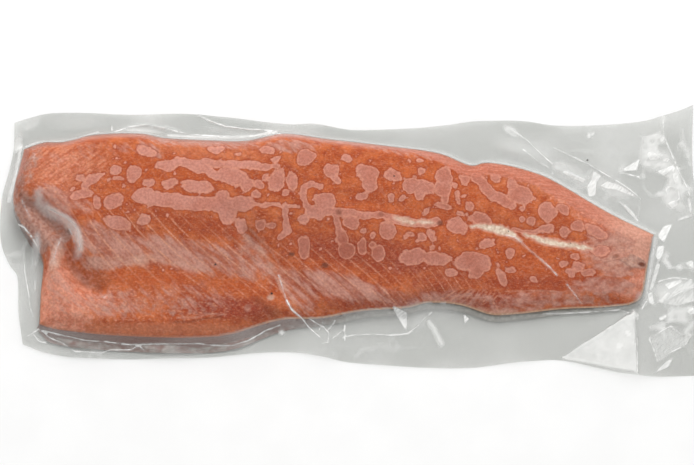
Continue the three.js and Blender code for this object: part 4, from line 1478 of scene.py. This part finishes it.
def speck_mesh(material):
    """Flat round specks that lie on the flesh or on the film."""
    specks = np.asarray(SPECKS, float)
    spots = on_pack(specks[:, :2])
    depth, _, film_top = form(spots)
    lie = np.where(depth > 0, film_top - FLESH_BELOW_FILM, film_top)
    turns = 2 * math.pi * np.arange(SPECK_SIDES) / SPECK_SIDES
    points = []
    faces = []
    for (x, y), z, radius in zip(spots, lie, specks[:, 2]):
        first = len(points)
        for ring in range(SPECK_RINGS + 1):
            tilt = math.pi * (ring + 0.5) / (SPECK_RINGS + 1)
            out = radius * math.sin(tilt)
            level = z + SPECK_FLATNESS * radius * math.cos(tilt)
            points += [(x + out * math.cos(turn), y + out * math.sin(turn), level) for turn in turns]
        loops = [first + ring * SPECK_SIDES + np.arange(SPECK_SIDES) for ring in range(SPECK_RINGS + 1)]
        faces.append(loops[0].tolist())
        for upper, lower in zip(loops[:-1], loops[1:]):
            faces += wall_faces(upper, lower)
        faces.append(loops[-1][::-1].tolist())
    return make_object("specks", np.array(points), faces, {}, [material])


def add_floor():
    """A plain pale floor just under the pack."""
    mesh = bpy.data.meshes.new("floor")
    signs = [(-1, -1), (1, -1), (1, 1), (-1, 1)]
    mesh.from_pydata([(FLOOR_HALF * x, FLOOR_HALF * y, FLOOR_HEIGHT) for x, y in signs], [], [(0, 1, 2, 3)])
    g = Graph("pale_floor")
    colour = g.mix(g.pattern(40, 3, 0.3, 0.7), *FLOOR_TONES)
    mesh.materials.append(g.finish(g.principled(colour, 0.7)))
    floor = link("floor", mesh)
    floor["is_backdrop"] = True


def add_light(name, azimuth, elevation, distance, power, size, mirrored):
    """A square soft light that looks at the pack. Azimuth runs from the tail's side towards the back. A light
    that isn't mirrored lights the pack and leaves no highlight on the film."""
    turn, rise = math.radians(azimuth), math.radians(elevation)
    aim = Vector((math.cos(rise) * math.cos(turn), math.cos(rise) * math.sin(turn), math.sin(rise)))
    light = bpy.data.lights.new(name, "AREA")
    light.energy = power
    light.size = size
    lamp = link(name, light)
    lamp.location = aim * distance
    lamp.visible_glossy = mirrored
    lamp.rotation_euler = (-aim).to_track_quat("-Z", "Y").to_euler()


def add_camera():
    """A long lens along the photograph's line of sight."""
    camera = bpy.data.cameras.new("camera")
    camera.sensor_width = SENSOR_WIDTH
    camera.lens = SENSOR_WIDTH * CAMERA_DISTANCE / (PHOTO_SIZE[0] * PHOTO_SCALE)
    camera.clip_end = CAMERA_CLIP
    holder = link("camera", camera)
    aim = Vector((*(LOOK_AT - pack_middle), 0)) * METRES
    away = Vector((0, -math.cos(VIEW_ELEVATION), math.sin(VIEW_ELEVATION))) * CAMERA_DISTANCE * METRES
    holder.location = aim + away
    holder.rotation_euler = (-away).to_track_quat("-Z", "Y").to_euler()
    bpy.context.scene.camera = holder


def add_world():
    """Even white light from all round."""
    world = bpy.data.worlds.new("studio")
    world.use_nodes = True
    background = world.node_tree.nodes["Background"]
    background.inputs["Color"].default_value = (1, 1, 1, 1)
    background.inputs["Strength"].default_value = WORLD_STRENGTH
    bpy.context.scene.world = world


def main():
    add_camera()
    fillet = fillet_mesh(flesh_material(), skin_material())
    upper_film, lower_film = film_meshes(film_material())
    specks = speck_mesh(speck_material())
    slots = {
        fillet: "salmon_in_film",
        specks: "salmon_in_film",
        upper_film: "clear_film",
        lower_film: "clear_film",
    }
    for piece, slot in slots.items():
        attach(piece, "root")
        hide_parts("sealed_pouch")

    add_floor()
    add_world()
    for name, settings in LIGHTS.items():
        add_light(name, **settings)
    bpy.context.scene.view_settings.view_transform = "Standard"


main()

boxes = {"cad": cad_box, "visual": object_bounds()}
{name: [list(corner) for corner in box] for name, box in boxes.items()}
